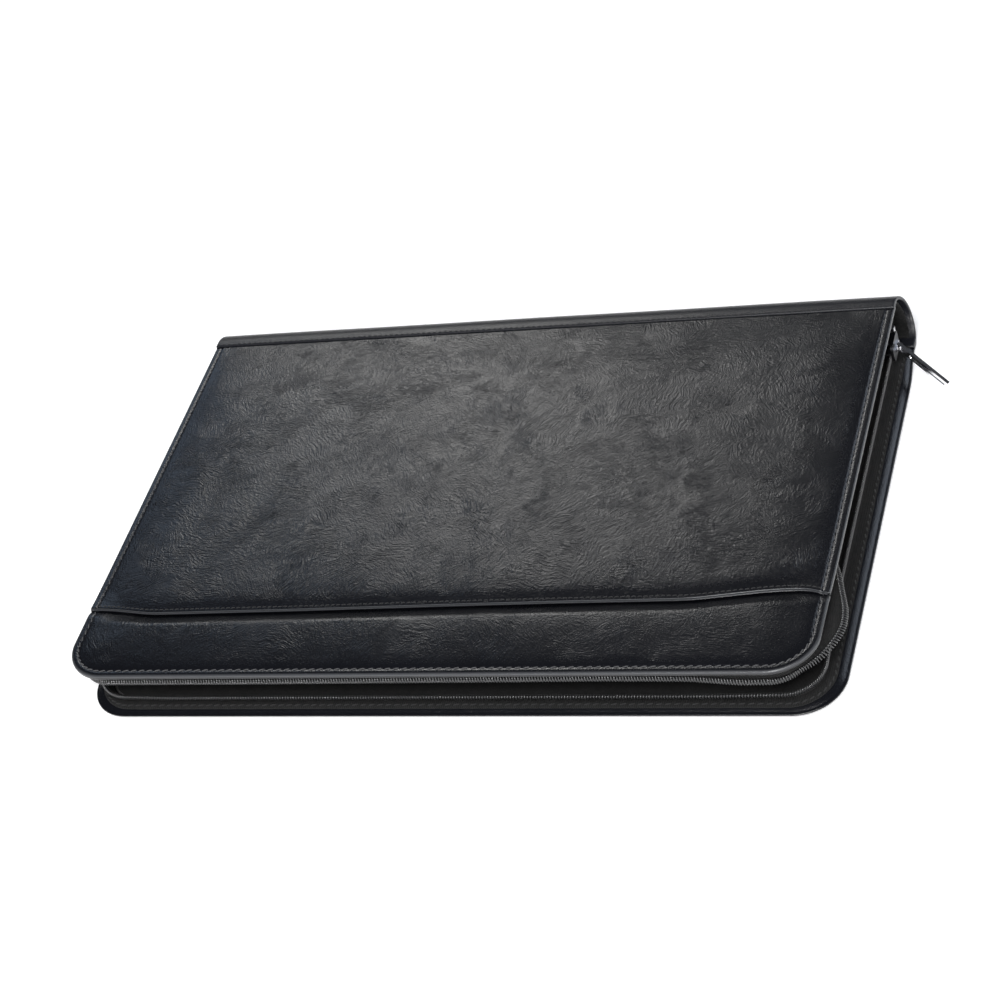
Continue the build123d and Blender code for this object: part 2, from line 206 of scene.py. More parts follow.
def grid_faces(rows, cols, start=0, close=False):
    """Quads of a grid of vertices, stored row by row."""
    r = np.arange(rows - 1)[:, None]
    c = np.arange(cols if close else cols - 1)[None, :]
    a = start + r * cols + c
    b = start + r * cols + (c + 1) % cols
    quads = np.stack([a, b, b + cols, a + cols], axis=-1)
    return quads.reshape(-1, 4).tolist()


def add_mesh(name, points, faces, material, slot, body=None, shift=0.0, calm=None, outside=True):
    """A smooth piece from points in millimetres, with its place at rest kept for the grain."""
    points = np.asarray(points, float).reshape(-1, 3).copy()
    points[:, 0] += shift
    mesh = bpy.data.meshes.new(name)
    mesh.from_pydata((points * MM).tolist(), [], faces)
    grain = mesh.attributes.new("rest_mm", "FLOAT_VECTOR", "POINT")
    grain.data.foreach_set("vector", points.astype(np.float32).ravel())
    if calm is not None:
        field = mesh.attributes.new("calm", "FLOAT", "POINT")
        field.data.foreach_set("value", np.asarray(calm, np.float32).ravel())
    if outside:
        work = bmesh.new()
        work.from_mesh(mesh)
        bmesh.ops.recalc_face_normals(work, faces=work.faces)
        work.to_mesh(mesh)
        work.free()
    mesh.polygons.foreach_set("use_smooth", [True] * len(mesh.polygons))
    mesh.materials.append(material)
    mesh.update()
    piece = bpy.data.objects.new(name, mesh)
    scene.collection.objects.link(piece)
    if body:
        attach(piece, body)
    return piece


# ---------------------------------------------------------------- procedural materials
class Paint:
    """A small node-tree builder for one Principled material."""

    def __init__(self, name, **plain):
        self.material = bpy.data.materials.new(name)
        self.material.use_nodes = True
        self.tree = self.material.node_tree
        self.shader = self.tree.nodes["Principled BSDF"]
        self.rest = None
        for key, value in plain.items():
            self.shader.inputs[key.replace("_", " ")].default_value = value

    def node(self, kind, settings=None, **inputs):
        made = self.tree.nodes.new(kind)
        for key, value in (settings or {}).items():
            setattr(made, key, value)
        for key, value in inputs.items():
            numbered = key[0] == "i" and key[1:].isdigit()
            self.feed(made.inputs[int(key[1:]) if numbered else key.replace("_", " ")], value)
        return made

    def feed(self, socket, value):
        if isinstance(value, bpy.types.NodeSocket):
            self.tree.links.new(value, socket)
        else:
            socket.default_value = value

    def math(self, operation, a, b=0.0, c=0.0, clamp=False):
        settings = {"operation": operation, "use_clamp": clamp}
        return self.node("ShaderNodeMath", settings, i0=a, i1=b, i2=c).outputs[0]

    def field(self, name, output="Fac"):
        """A value or vector that add_mesh stored with the mesh."""
        return self.node("ShaderNodeAttribute", {"attribute_name": name}).outputs[output]

    def place(self):
        """Place at rest, in millimetres."""
        self.rest = self.rest or self.field("rest_mm", "Vector")
        return self.rest

    def noise(self, scale, detail=2.0, rough=0.5, vector=None, output=0):
        made = self.node("ShaderNodeTexNoise", Vector=vector or self.place(), Scale=scale,
                         Detail=detail, Roughness=rough)
        return made.outputs[output]

    def ramp(self, value, low, high, to_low=0.0, to_high=1.0):
        made = self.node("ShaderNodeMapRange", {"clamp": True, "interpolation_type": "SMOOTHSTEP"},
                         Value=value, From_Min=low, From_Max=high, To_Min=to_low, To_Max=to_high)
        return made.outputs[0]

    def blend(self, share, first, second):
        made = self.node("ShaderNodeMix", {"data_type": "RGBA"})
        self.feed(made.inputs[0], share)
        self.feed(made.inputs[6], first)
        self.feed(made.inputs[7], second)
        return made.outputs[2]

    def colour(self, socket):
        self.tree.links.new(socket, self.shader.inputs["Base Color"])

    def rough(self, socket):
        self.tree.links.new(socket, self.shader.inputs["Roughness"])

    def bump(self, height, depth_mm, strength=1.0):
        made = self.node("ShaderNodeBump", Height=height, Strength=strength,
                         Distance=depth_mm * MM)
        self.tree.links.new(made.outputs[0], self.shader.inputs["Normal"])


def grey(value, blue=1.0):
    """A grey, with its blue raised or not."""
    return (value, value, value * blue, 1.0)


def object_noise(p, scale, detail):
    """Noise in a CAD part's own coordinates, in metres."""
    place = p.node("ShaderNodeTexCoord").outputs["Object"]
    if isinstance(scale, tuple):
        place = p.node("ShaderNodeMapping", Vector=place, Scale=scale).outputs[0]
        scale = 1.0
    return p.noise(scale, detail, vector=place)


def leather_material(name, grain=1.0, creases=1.0, shade=0.0035, gloss=0.27):
    """Black leather: fine pebble, drawn grain that changes direction, and bunched creases.
    Heights are in millimetres. A piece's "calm" is 0 where the grain is free, 1 where it is
    pressed flat by a seam, and 2 on a rolled edge or lip that gets a painted highlight."""
    p = Paint(name, Specular_IOR_Level=0.45, IOR=1.5)
    place = p.place()
    calm_and_highlight = p.field("calm")
    calm = p.math("MINIMUM", calm_and_highlight, 1.0)
    painted_edge_highlight = p.math("SUBTRACT", calm_and_highlight, 1.0, clamp=True)
    lively = p.math("SUBTRACT", 1.0, p.math("MULTIPLY", calm, 0.80))
    drift = p.noise(0.045, 2.0, 0.55, output=1)
    pushed = p.node("ShaderNodeVectorMath", {"operation": "MULTIPLY_ADD"},
                    i0=drift, i1=(16, 16, 16), i2=place).outputs[0]
    cells = p.node("ShaderNodeTexVoronoi", {"feature": "SMOOTH_F1"}, Vector=place, Scale=1.4,
                   Smoothness=0.5, Randomness=1.0).outputs[0]
    height = p.math("MULTIPLY", cells, -0.014)
    height = p.math("MULTIPLY_ADD", p.noise(1.3, 1.2, 0.55), 0.085, height)
    drawn_sum, share_sum, valley_sum = 0.0, 0.25, 0.0
    for k, degrees in enumerate((14, 58, 103, 149)):
        turned = p.node("ShaderNodeVectorRotate", {"rotation_type": "Z_AXIS"}, Vector=pushed,
                        Angle=math.radians(degrees)).outputs[0]
        drawn = p.node("ShaderNodeMapping", Vector=turned, Scale=(0.22, 1.22, 0.4),
                       Location=(31.0 * k, 17.0 * k, 5.0)).outputs[0]
        streak = p.noise(1.0, 1.7, 0.58, vector=drawn)
        region = p.noise(0.034, 1.0, 0.5, vector=p.node("ShaderNodeMapping", Vector=place,
                         Location=(140.0 * k, -90.0 * k, 40.0)).outputs[0])
        share = p.ramp(region, 0.42, 0.60)
        drawn_sum = p.math("MULTIPLY_ADD", streak, share, drawn_sum)
        share_sum = p.math("ADD", share, share_sum)
        crest = p.math("ABSOLUTE", p.math("SUBTRACT", streak, 0.5))
        crease = p.ramp(crest, 0.0, 0.030)
        strong = p.math("MULTIPLY", p.ramp(region, 0.54, 0.62), lively)
        valley_sum = p.math("MULTIPLY_ADD", p.math("SUBTRACT", crease, 1.0), strong, valley_sum)
    bunches = p.ramp(p.noise(0.06, 1.0, 0.5), 0.40, 0.66, 0.36 * grain, 0.52 * grain)
    drawn_share = p.math("MULTIPLY", p.math("DIVIDE", drawn_sum, share_sum), bunches)
    height = p.math("MULTIPLY_ADD", drawn_share, lively, height)
    knot = p.ramp(p.noise(0.10, 1.0, 0.5, vector=pushed), 0.54, 0.68, 0.0, 0.022 * creases)
    height = p.math("MULTIPLY_ADD", valley_sum, knot, height)
    p.bump(height, 1.0)
    tone = p.noise(0.04, 3.0, 0.6)
    dye = p.blend(tone, (shade * 0.75, shade * 0.82, shade * 1.20, 1),
                  (shade * 1.2, shade * 1.30, shade * 1.85, 1))
    # Painted highlight: a calm above 1 blends the dye towards a lighter grey on rolled edges and
    # lips, standing for the lamps' reflection there.
    p.colour(p.blend(painted_edge_highlight, dye, (0.046, 0.048, 0.052, 1)))
    worn = p.math("MULTIPLY_ADD", calm, -0.06, gloss - 0.04)
    p.rough(p.math("MULTIPLY_ADD", tone, 0.08, p.math("MULTIPLY_ADD", cells, 0.05, worn)))
    return p.material


def woven_material(name, shade, warp, weft, depth, rough=0.85, fuzz=0.5, blue=1.0, wave=0.0,
                   shine=0.2):
    """Cloth or tape: crossing yarns of the two pitches, with fibres and uneven dye."""
    p = Paint(name, Sheen_Weight=fuzz, Sheen_Roughness=0.5, Specular_IOR_Level=shine)
    apart = p.node("ShaderNodeSeparateXYZ", Vector=p.place())
    u = p.math("MULTIPLY", p.math("ADD", apart.outputs[0], apart.outputs[2]), 6.283 / warp)
    v = p.math("MULTIPLY", p.math("SUBTRACT", apart.outputs[1], apart.outputs[2]), 6.283 / weft)
    if wave:
        u = p.math("MULTIPLY_ADD", p.math("SINE", v), wave, u)
    across = p.math("SINE", u)
    down = p.math("SINE", v)
    yarns = p.math("MULTIPLY", p.math("ADD", across, down), 0.25)
    fibre = p.noise(5.0, 3.0, 0.7)
    height = p.math("MULTIPLY_ADD", fibre, 0.8, yarns)
    p.bump(height, depth)
    tone = p.noise(0.35, 4.0, 0.65)
    share = p.math("MULTIPLY_ADD", p.math("SUBTRACT", fibre, 0.5), 0.9, tone)
    share = p.math("ADD", share, p.math("MULTIPLY", yarns, 0.35), clamp=True)
    p.colour(p.blend(share, grey(shade * 0.3, blue), grey(shade * 2.2, blue)))
    p.shader.inputs["Roughness"].default_value = rough
    return p.material


def metal_material(name, tint, rough, wear):
    """Plated metal with fine polishing lines and a few dull spots."""
    p = Paint(name, Metallic=1.0)
    lines = object_noise(p, (900, 900, 5200), 2.0)
    spots = object_noise(p, 420.0, 3.0)
    p.colour(p.blend(spots, (tint[0] * 0.86, tint[1] * 0.86, tint[2] * 0.86, 1), (*tint, 1)))
    p.rough(p.math("MULTIPLY_ADD", spots, wear, rough))
    p.bump(lines, 0.004, 0.3)
    return p.material


def thread_material(name, shade, rough):
    """Twisted polyester thread."""
    p = Paint(name, Specular_IOR_Level=0.4, Sheen_Weight=0.1)
    apart = p.node("ShaderNodeSeparateXYZ", Vector=p.place())
    run = p.math("ADD", apart.outputs[0], apart.outputs[1])
    twist = p.math("SINE", p.math("MULTIPLY", run, 13.0))
    p.bump(twist, 0.05)
    share = p.math("ADD", p.math("MULTIPLY", twist, 0.3), p.noise(1.5, 2.0), clamp=True)
    p.colour(p.blend(share, grey(shade * 0.6, 1.06), grey(shade * 1.5, 1.06)))
    p.shader.inputs["Roughness"].default_value = rough
    return p.material


def board_material(name):
    """Grey chipboard with pressed fibres."""
    p = Paint(name, Roughness=0.9)
    fibre = object_noise(p, 900.0, 5.0)
    p.colour(p.blend(fibre, (0.16, 0.15, 0.13, 1), (0.32, 0.30, 0.27, 1)))
    p.bump(fibre, 0.05)
    return p.material


def floor_material(name):
    """Plain pale floor that glows a little, so that shadows on it stay faint."""
    p = Paint(name, Roughness=0.85, Emission_Strength=0.22)
    p.shader.inputs["Emission Color"].default_value = (1.0, 1.0, 1.0, 1.0)
    tone = object_noise(p, 2.0, 2.0)
    p.colour(p.blend(tone, (0.93, 0.93, 0.93, 1), (0.95, 0.95, 0.95, 1)))
    return p.material


PANEL_HIDE = leather_material("grained_leather")
STRIP_HIDE = leather_material("smooth_leather", grain=0.8, creases=0.6, gloss=0.27)
SPINE_HIDE = leather_material("spine_leather", grain=0.30, creases=0.1, shade=0.006, gloss=0.34)
POCKET_HIDE = leather_material("pocket_leather", grain=0.5, creases=0.1, shade=0.006, gloss=0.38)
LINING_CLOTH = woven_material("lining_cloth", 0.009, 0.55, 0.55, 0.12, rough=0.95, fuzz=0.12)
SHEET_CLOTH = woven_material("pocket_sheet_cloth", 0.010, 0.4, 0.4, 0.06, fuzz=0.1)
TAPE_WEAVE = woven_material("zip_tape_weave", 0.009, 1.0, 0.6, 0.45, rough=0.75, fuzz=0.05,
                            wave=1.2, shine=0.12)
TRIM_WEAVE = woven_material("grosgrain_trim", 0.012, 6.0, 0.7, 0.14, rough=0.7, fuzz=0.1)
ELASTIC_WEAVE = woven_material("elastic_rib", 0.012, 0.8, 0.5, 0.14, rough=0.8, fuzz=0.1)
EDGE_THREAD = thread_material("edge_thread", 0.055, 0.45)
DARK_THREAD = thread_material("dark_thread", 0.012, 0.6)
CHROME = metal_material("bright_chrome", (0.92, 0.92, 0.94), 0.14, 0.05)
DARK_NICKEL = metal_material("dark_nickel", (0.05, 0.05, 0.055), 0.30, 0.12)
STOP_METAL = metal_material("stop_nickel", (0.70, 0.70, 0.72), 0.25, 0.12)
BOARD = board_material("grey_board")


def coil_material():
    """Black nylon monofilament, glossy, with faint moulding lines."""
    p = Paint("coil_nylon", Specular_IOR_Level=0.8, Coat_Weight=0.5)
    tone = p.noise(1.2, 2.0)
    p.colour(p.blend(tone, grey(0.010, 1.08), grey(0.024, 1.08)))
    p.rough(p.math("MULTIPLY_ADD", tone, 0.15, 0.22))
    p.bump(p.noise(9.0, 1.0), 0.02)
    return p.material


COIL = coil_material()


# ---------------------------------------------------------------- surfaces of the covers
def hem_line(x):
    """The mouth of the outside pocket, across the front panel."""
    keys = [(-175, -78.6), (-160, -80.3), (-142, -83.0), (-66, -82.2), (0, -81.0), (60, -80.2),
            (115, -79.8), (150, -75.6), (166, -74.8), (175, -77.6)]
    return keyed(keys, x, 7.0)


def groove(d):
    """Stitching groove, in from an open edge, and the fall towards that edge."""
    fall = EDGE_FALL * (1 - clamp(d / FALL_RUN)) ** 1.4
    return -GROOVE * np.exp(-(((d - STITCH_IN) / GROOVE_WIDE) ** 2)) - fall


def panel_face(x, y):
    """Outer face of the padded front panel."""
    hem = hem_line(x)
    d = rim_distance(x, y)
    soft = rim_distance(x, y, 30.0)
    past = np.maximum(y - hem, 0.0)
    rise = (PANEL_TOP - RIM_TOP) * swell((soft - 3.7) / SLOPE)
    rise = rise * (1 - (1 - clamp((SEAM_Y - 1.0 - y) / SEAM_EASE)) ** 1.5)
    rise = rise * (1 - MOUTH_SINK * np.exp(-((past / MOUTH_RUN) ** 1.3)))
    lift = MOUTH_LIFT * np.exp(-past / 7.0) * (1 - smooth((d - 3) / 25.0))
    soft_wave = wander(x, y, 46.0, 0.13, 3.0) + wander(x, y, 17.0, 0.022, 8.0)
    free = smooth((d - 4.5) / 18.0) * smooth((SEAM_Y - 4 - y) / 14.0)
    return RIM_TOP + rise + lift + groove(d) + soft_wave * free


def strip_face(x, y):
    """Outer face of the padded strip in front of the pocket's mouth."""
    hem = hem_line(x)
    d = rim_distance(x, y)
    ends = smooth((np.minimum(HALF - np.abs(x), 60.0) - 4.0) / 14.0)
    into = clamp((y - hem + DIP_START) / DIP_RUN) ** 1.12
    climb = np.clip((rim_distance(x, y, 24.0) - 3.7) / STRIP_SLOPE, 0.0, 1.0)
    rise = STRIP_RISE * (1 - (1 - climb) ** 1.6)
    drop = into * (rise + GAP_DEPTH * ends)
    near_end = (1 - ends) * GAP_DEPTH * clamp((y - hem + 5.0) / 5.5) ** 1.5
    soft_wave = wander(x, y, 30.0, 0.12, 21.0) * smooth((d - 4.5) / 9.0) * (1 - into)
    return RIM_TOP + rise - drop - near_end + groove(d) * (1 - into) + soft_wave


def back_face(x, y):
    """Outer face of the back cover, which lies on the table."""
    d = rim_distance(x, y)
    ease = 1 - smooth((d - 3.0) / 9.0)
    return 0.34 * ease - groove(d) * 0.9 + 0.04 * smooth((d - 12) / 20.0) * (
        1 + wander(x, y, 30.0, 1.0, 33.0)
    )


# distances in from an edge at which its mesh lines stand, then their even pitch
EDGE_STEPS = [0, 0.35, 0.7, 1.05, 1.4, 1.7, 1.95, 2.2, 2.45, 2.7, 2.95, 3.25, 3.7, 4.4, 5.4, 6.6]
PITCH = 1.4


def rolled(thick, turn_in, radius=EDGE_R, steps=11, slope=0.0):
    """Edge profile from the outer face round to the turned-in hem: (outwards, depth)."""
    half = (thick - slope) / 2
    arc = [
        (radius * math.sin(a) ** 0.6,
         half * (1 - math.copysign(abs(math.cos(a)) ** 0.7, math.cos(a))))
        for a in np.linspace(0, math.pi, steps)[1:-1]
    ]
    back = [(-turn_in * s, thick - slope * (1 - min(s / 0.55, 1.0)) ** 2)
            for s in (0.0, 0.06, 0.14, 0.24, 0.36, 0.5, 0.7, 1.0)]
    return arc + back


def cover_skin(name, face, rear, up, thick, material, slot, body, shift, tuck=None, calm_at=None,
               spare=0.0, front_spare=0.0, hem_slope=0.0):
    """Leather of a cover with its three open edges rolled over and turned in."""
    half = HALF + spare
    xs = spread(-half + EDGE_R, half - EDGE_R, EDGE_STEPS, PITCH)
    ys = spread(FRONT + EDGE_R, rear, EDGE_STEPS, PITCH, both=False)
    gx, gy = np.meshgrid(xs, ys)
    low = (-half + EDGE_R, FRONT + EDGE_R)
    high = (half - EDGE_R, rear)
    px, py = rounded(gx, gy, low, high, CORNER - EDGE_R)
    pz = face(px * HALF / half, py)
    px = px * (HALF + spare * smooth((rear - py) / SIDE_SPARE_RUN)) / half
    py = py - front_spare * smooth((FRONT + FRONT_SPARE_RUN - py) / FRONT_SPARE_RUN)
    rows, cols = px.shape
    index = np.arange(rows * cols).reshape(rows, cols)
    loop = np.concatenate([index[::-1, 0], index[0, 1:], index[1:, -1]])
    flat = columns(px.ravel(), py.ravel(), pz.ravel())
    edge = flat[loop]
    cx = np.clip(edge[:, 0], -half + CORNER, half - CORNER)
    cy = np.maximum(edge[:, 1], FRONT - front_spare + CORNER)
    out = columns(edge[:, 0] - cx, edge[:, 1] - cy)
    front_row = (np.abs(out[:, 0]) < 1e-6) & (out[:, 1] < 0)
    out[front_row] = (0, -1)
    out = unit(out)
    pull_in = tuck(edge[:, 0], edge[:, 1]) if tuck else np.zeros(len(edge))
    edge[:, :2] -= out * pull_in[:, None]
    flat[loop] = edge
    rings = [flat]
    for reach, depth in rolled(thick, TURN_IN, slope=hem_slope):
        ring = edge.copy()
        ring[:, :2] += out * reach
        ring[:, 2] -= up * depth
        rings.append(ring)
    faces = grid_faces(rows, cols)
    count = len(loop)
    chain = [loop] + [rows * cols + k * count + np.arange(count) for k in range(len(rings) - 1)]
    for a, b in zip(chain[:-1], chain[1:]):
        quads = columns(a[:-1], a[1:], b[1:], b[:-1])
        faces += quads.tolist()
    points = np.concatenate(rings)
    calm = np.full(len(points), PRESSED)
    if calm_at:
        calm[: rows * cols] = calm_at(px, py).ravel()
    # Painted highlight: the edge line gets part of a lighter colour and the rolled rows next to
    # the outer face get all of it, standing for the lamps' reflection on the rolled edge.
    calm[loop] = HALF_PAINTED_HIGHLIGHT
    for k, (reach, depth) in enumerate(rolled(thick, TURN_IN, slope=hem_slope)):
        highlit = depth < thick * 0.30 if up > 0 else depth > thick * 0.55
        if highlit and reach > -0.2:
            first_point = rows * cols + k * count
            calm[first_point:first_point + count] = PAINTED_HIGHLIGHT
    return add_mesh(name, points, faces, material, slot, body, shift, calm)


# ---- front strip
def strip_tuck(x, y):
    """The strip's sides draw in a little where it goes under the panel."""
    return 0.75 * smooth((y - hem_line(x) + 1.5) / 3.0)


front_strip = cover_skin(
    "front_strip_leather", strip_face, MOUTH_Y + 13.0, 1, 2.4, STRIP_HIDE, "leather",
    "front_cover", FRONT_X, strip_tuck,
    lambda x, y: 1 - 0.9 * smooth((rim_distance(x, y) - 3.5) / 6.0),
)
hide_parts("front_strip")

# ---- back cover
back_skin = cover_skin(
    "back_cover_leather", back_face, SEAM_Y + 0.4, -1, 2.3, PANEL_HIDE, "leather",
    "back_cover", BACK_X, None,
    lambda x, y: 1 - smooth((rim_distance(x, y) - 6) / 14.0), SIDE_SPARE, FRONT_SPARE,
    hem_slope=1.25,
)
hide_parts("back_leather")


# ---- front panel: rolled at both sides, hemmed at the mouth
def across_profile(half, thick, turn_in, radius, steps, pitch):
    """Section across a piece: (x, depth) from one turned-in edge over to the other."""
    side = [(half - radius + out, depth) for out, depth in rolled(thick, turn_in, radius)]
    top = spread(-half + radius, half - radius, steps, pitch)
    left = [(-x, depth) for x, depth in reversed(side)]
    return np.array(left + [(x, 0.0) for x in top] + side)


# section of the hem's two folded lips at the mouth: (forwards, down)
LIPS = [
    (0.20, 0.01), (0.42, 0.06), (0.60, 0.17), (0.70, 0.33), (0.70, 0.50), (0.58, 0.66),
    (0.34, 0.76), (0.02, 0.80), (-0.20, 0.86), (0.10, 0.90), (0.52, 0.92), (0.86, 0.98),
    (1.08, 1.12), (1.16, 1.30), (1.10, 1.50), (0.90, 1.68), (0.50, 1.79), (0.0, HEM_THICK),
    (-3.0, HEM_THICK), (-7.0, HEM_THICK), (-10.0, HEM_THICK),
]


def front_panel():
    """Leather of the front panel, one sheet from the mouth's lips to the spine."""
    section = across_profile(HALF + 0.05, PANEL_EDGE, TURN_IN, EDGE_R, EDGE_STEPS, PITCH)
    sx, depth = section[:, 0], section[:, 1]
    on_top = np.clip(sx, -HALF + EDGE_R, HALF - EDGE_R)
    start = hem_line(on_top) + 0.6
    share = spread(0.0, 1.0, [0, 0.004, 0.009, 0.015, 0.022, 0.031, 0.042], 0.0078, both=False)
    rear = BEND_Y - 0.4
    rows = []
    for t in share:
        y = start + (rear - start) * t
        z = panel_face(on_top, y)
        rows.append(columns(sx, y, z - depth))
    lips = []
    for reach, down in LIPS:
        y = start - reach
        z = panel_face(on_top, start)
        inner = np.where(depth > 0, np.minimum(down, 0.9), down)
        toward = np.sign(PANEL_EDGE / 2 - depth)
        lips.append(np.stack([
            sx * (1 - 0.002 * np.minimum(inner, 0.6)), y,
            z - depth - toward * np.where(depth > 0, inner * 0.5, inner),
        ], axis=1))
    points = np.concatenate([np.concatenate(lips[::-1]), np.concatenate(rows)])
    faces = grid_faces(len(lips) + len(rows), len(sx))
    d = rim_distance(points[:, 0], points[:, 1])
    calm = 1 - smooth((d - 3.5) / 9.0) * smooth((points[:, 1] - hem_line(points[:, 0]) - 2) / 7.0)
    # Painted highlight: the rolled sides and two bands of the hem's lips are set to the highest
    # calm, which blends their colour towards a lighter grey in place of the lamps' reflection.
    on_side = np.tile((depth > 0.05) & (depth < 1.2), len(points) // len(depth))
    highlit = [0.10 < down < 0.42 or 0.80 < down < 1.04 for _, down in LIPS[::-1]]
    lip_rows = np.repeat(highlit, len(sx))
    on_lip = np.concatenate([lip_rows, np.zeros(len(points) - len(lip_rows), bool)])
    calm[on_side | on_lip] = PAINTED_HIGHLIGHT
    return add_mesh("front_panel_leather", points, faces, PANEL_HIDE, "leather", "front_cover",
                    FRONT_X, calm)


panel = front_panel()
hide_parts("front_panel")

# ---------------------------------------------------------------- spine
TAB_EDGE = 104.6        # folded edge of the spine strip, on the covers
TAB_THICK = 1.35


def strip_shift(angle):
    """Sideways settling of the case, from the back cover to the front cover."""
    return BACK_X + (FRONT_X - BACK_X) * smooth((np.asarray(angle) + math.pi / 2) / math.pi)


def spine_side(name, sign, material, radius, thick, half, tab_edge, turn, steps, slot):
    """Half of a strip round the spine, from its folded edge on a cover to the middle."""
    bend = np.radians(np.linspace(90, 0, 46))
    out_y = list(BEND_Y + radius * np.cos(bend))
    out_z = list(radius * np.sin(bend))
    face_y = list(np.linspace(tab_edge + thick / 2, BEND_Y, 6)[:-1])
    face_z = [radius] * len(face_y)
    normal = [(0.0, 1.0)] * len(face_y) + list(zip(np.cos(bend), np.sin(bend)))
    fold = np.radians(np.linspace(-90, 90, 9))[:-1]
    fold_y = [tab_edge + thick / 2 - thick / 2 * math.cos(a) for a in fold]
    fold_z = [radius - thick / 2 + thick / 2 * math.sin(a) for a in fold]
    back_y = [tab_edge + 6.0, tab_edge + 3.0]
    back_z = [radius - thick, radius - thick]
    edge_normal = [(0.0, 1.0)] * (len(fold_y) + len(back_y))
    ys = np.array(back_y + fold_y + face_y + out_y)
    zs = np.array(back_z + fold_z + face_z + out_z)
    normals = np.array(edge_normal + normal)
    angles = np.concatenate([np.full(len(ys) - len(bend), math.pi / 2), bend])
    section = across_profile(half, turn[1], turn[0], turn[1] / 2, steps, 2.0)
    rows = []
    for y, z, n, a in zip(ys, zs, normals, angles):
        deep = section[:, 1]
        x = section[:, 0] + strip_shift(sign * a)
        wave = 0.05 * np.sin(section[:, 0] / 21.0 + a * 2.0) * math.sin(2 * a) ** 2
        py = y - n[0] * (deep - wave)
        pz = MID_Z + sign * (z - n[1] * (deep - wave))
        rows.append(columns(x, py, pz))
    points = np.concatenate(rows)
    faces = grid_faces(len(rows), len(section))
    return add_mesh(name, points, faces, material, slot)


SPINE_STEPS = [0, 0.6, 1.2, 1.8, 2.4, 3.2, 4.4]
spine_front = spine_side("spine_leather_front", 1, SPINE_HIDE, SPINE_R, TAB_THICK, HALF,
                         TAB_EDGE, (8.0, 1.7), SPINE_STEPS, "leather")
spine_back = spine_side("spine_leather_back", -1, SPINE_HIDE, SPINE_R, TAB_THICK, HALF,
                        TAB_EDGE, (8.0, 1.7), SPINE_STEPS, "leather")
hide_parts("spine_strip_front", "spine_stiffener_front")
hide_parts("spine_strip_back", "spine_strip_middle", "spine_stiffener_back",
            "spine_stiffener_middle")
LINE_R = SPINE_R - 2.0
lining_front = spine_side("spine_cloth_front", 1, LINING_CLOTH, LINE_R, 0.5, HALF - 3.0,
                          CLOTH_HEM, (1.0, 0.5), SPINE_STEPS, "lining")
lining_back = spine_side("spine_cloth_back", -1, LINING_CLOTH, LINE_R, 0.5, HALF - 3.0,
                         CLOTH_HEM, (1.0, 0.5), SPINE_STEPS, "lining")
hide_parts("spine_lining_front")
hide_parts("spine_lining_back", "spine_lining_middle")
# lines that the spine bends along, as (y, z) where a bend starts and where it ends
FRONT_FOLD = ((123.84, 16.54), (110.13, 30.24))
BACK_FOLD = ((110.13, -2.84), (123.84, 10.87))


def bend_between(piece, first, second, fold):
    """Bakes a spine piece's placement into its mesh."""
    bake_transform(piece)


# ---------------------------------------------------------------- stitches
def stitch_row(name, places, ways, ups, size, slant, material, slot, body):
    """A row of thread stitches, each one a small capsule that dives at its ends."""
    long, wide, high = size
    stations = np.array([-1.0, -0.86, -0.5, 0.0, 0.5, 0.86, 1.0])
    girth = np.array([0.30, 0.70, 0.96, 1.0, 0.96, 0.70, 0.30])
    sink = -0.55 * np.abs(stations) ** 3
    turns = np.arange(8) * math.pi / 4
    u = np.repeat(stations * long / 2, 8)
    v = (girth[:, None] * np.cos(turns) * wide / 2).ravel()
    w = (girth[:, None] * np.sin(turns) * high / 2 + (sink * high)[:, None]).ravel()
    pattern = grid_faces(len(stations), 8, close=True)
    pattern += [list(range(7, -1, -1)), list(range(48, 56))]
    rng = random.Random(len(places))
    points, faces = [], []
    for k, (place, way, up) in enumerate(zip(places, ways, ups)):
        a = slant + rng.uniform(-0.04, 0.04)
        side = np.cross(up, way)
        e1 = way * math.cos(a) + side * math.sin(a)
        e2 = np.cross(up, e1)
        points.append(place + np.outer(u, e1) + np.outer(v, e2) + np.outer(w, up))
        faces += [[i + 56 * k for i in f] for f in pattern]
    return add_mesh(name, np.concatenate(points), faces, material, slot, body)


SIDE_RUN = RIM_REAR - (FRONT + CORNER)
CORNER_RUN = CORNER * math.pi / 2
ACROSS_RUN = 2 * (HALF - CORNER)
RIM_RUN = 2 * SIDE_RUN + 2 * CORNER_RUN + ACROSS_RUN


def rim(at):
    """Points of a cover's open rim and their outward normals, by length from rear left."""
    at = np.asarray(at, float)
    a1, a2 = SIDE_RUN, SIDE_RUN + CORNER_RUN
    a3, a4 = a2 + ACROSS_RUN, a2 + ACROSS_RUN + CORNER_RUN
    first = np.clip(at - a1, 0, CORNER_RUN) / CORNER
    second = np.clip(at - a3, 0, CORNER_RUN) / CORNER
    turn = first + second
    normal = columns(-np.cos(turn), -np.sin(turn))
    left, right = at < a3, at >= a3
    centre_x = np.where(left, -HALF + CORNER, HALF - CORNER)
    centre_x = np.where((at > a2) & (at < a3), -HALF + CORNER + (at - a2), centre_x)
    centre_y = np.full(len(at), FRONT + CORNER)
    centre_y = np.where(at < a1, centre_y + (a1 - at), centre_y)
    centre_y = np.where(right & (at > a4), centre_y + (at - a4), centre_y)
    return columns(centre_x, centre_y) + CORNER * normal, normal


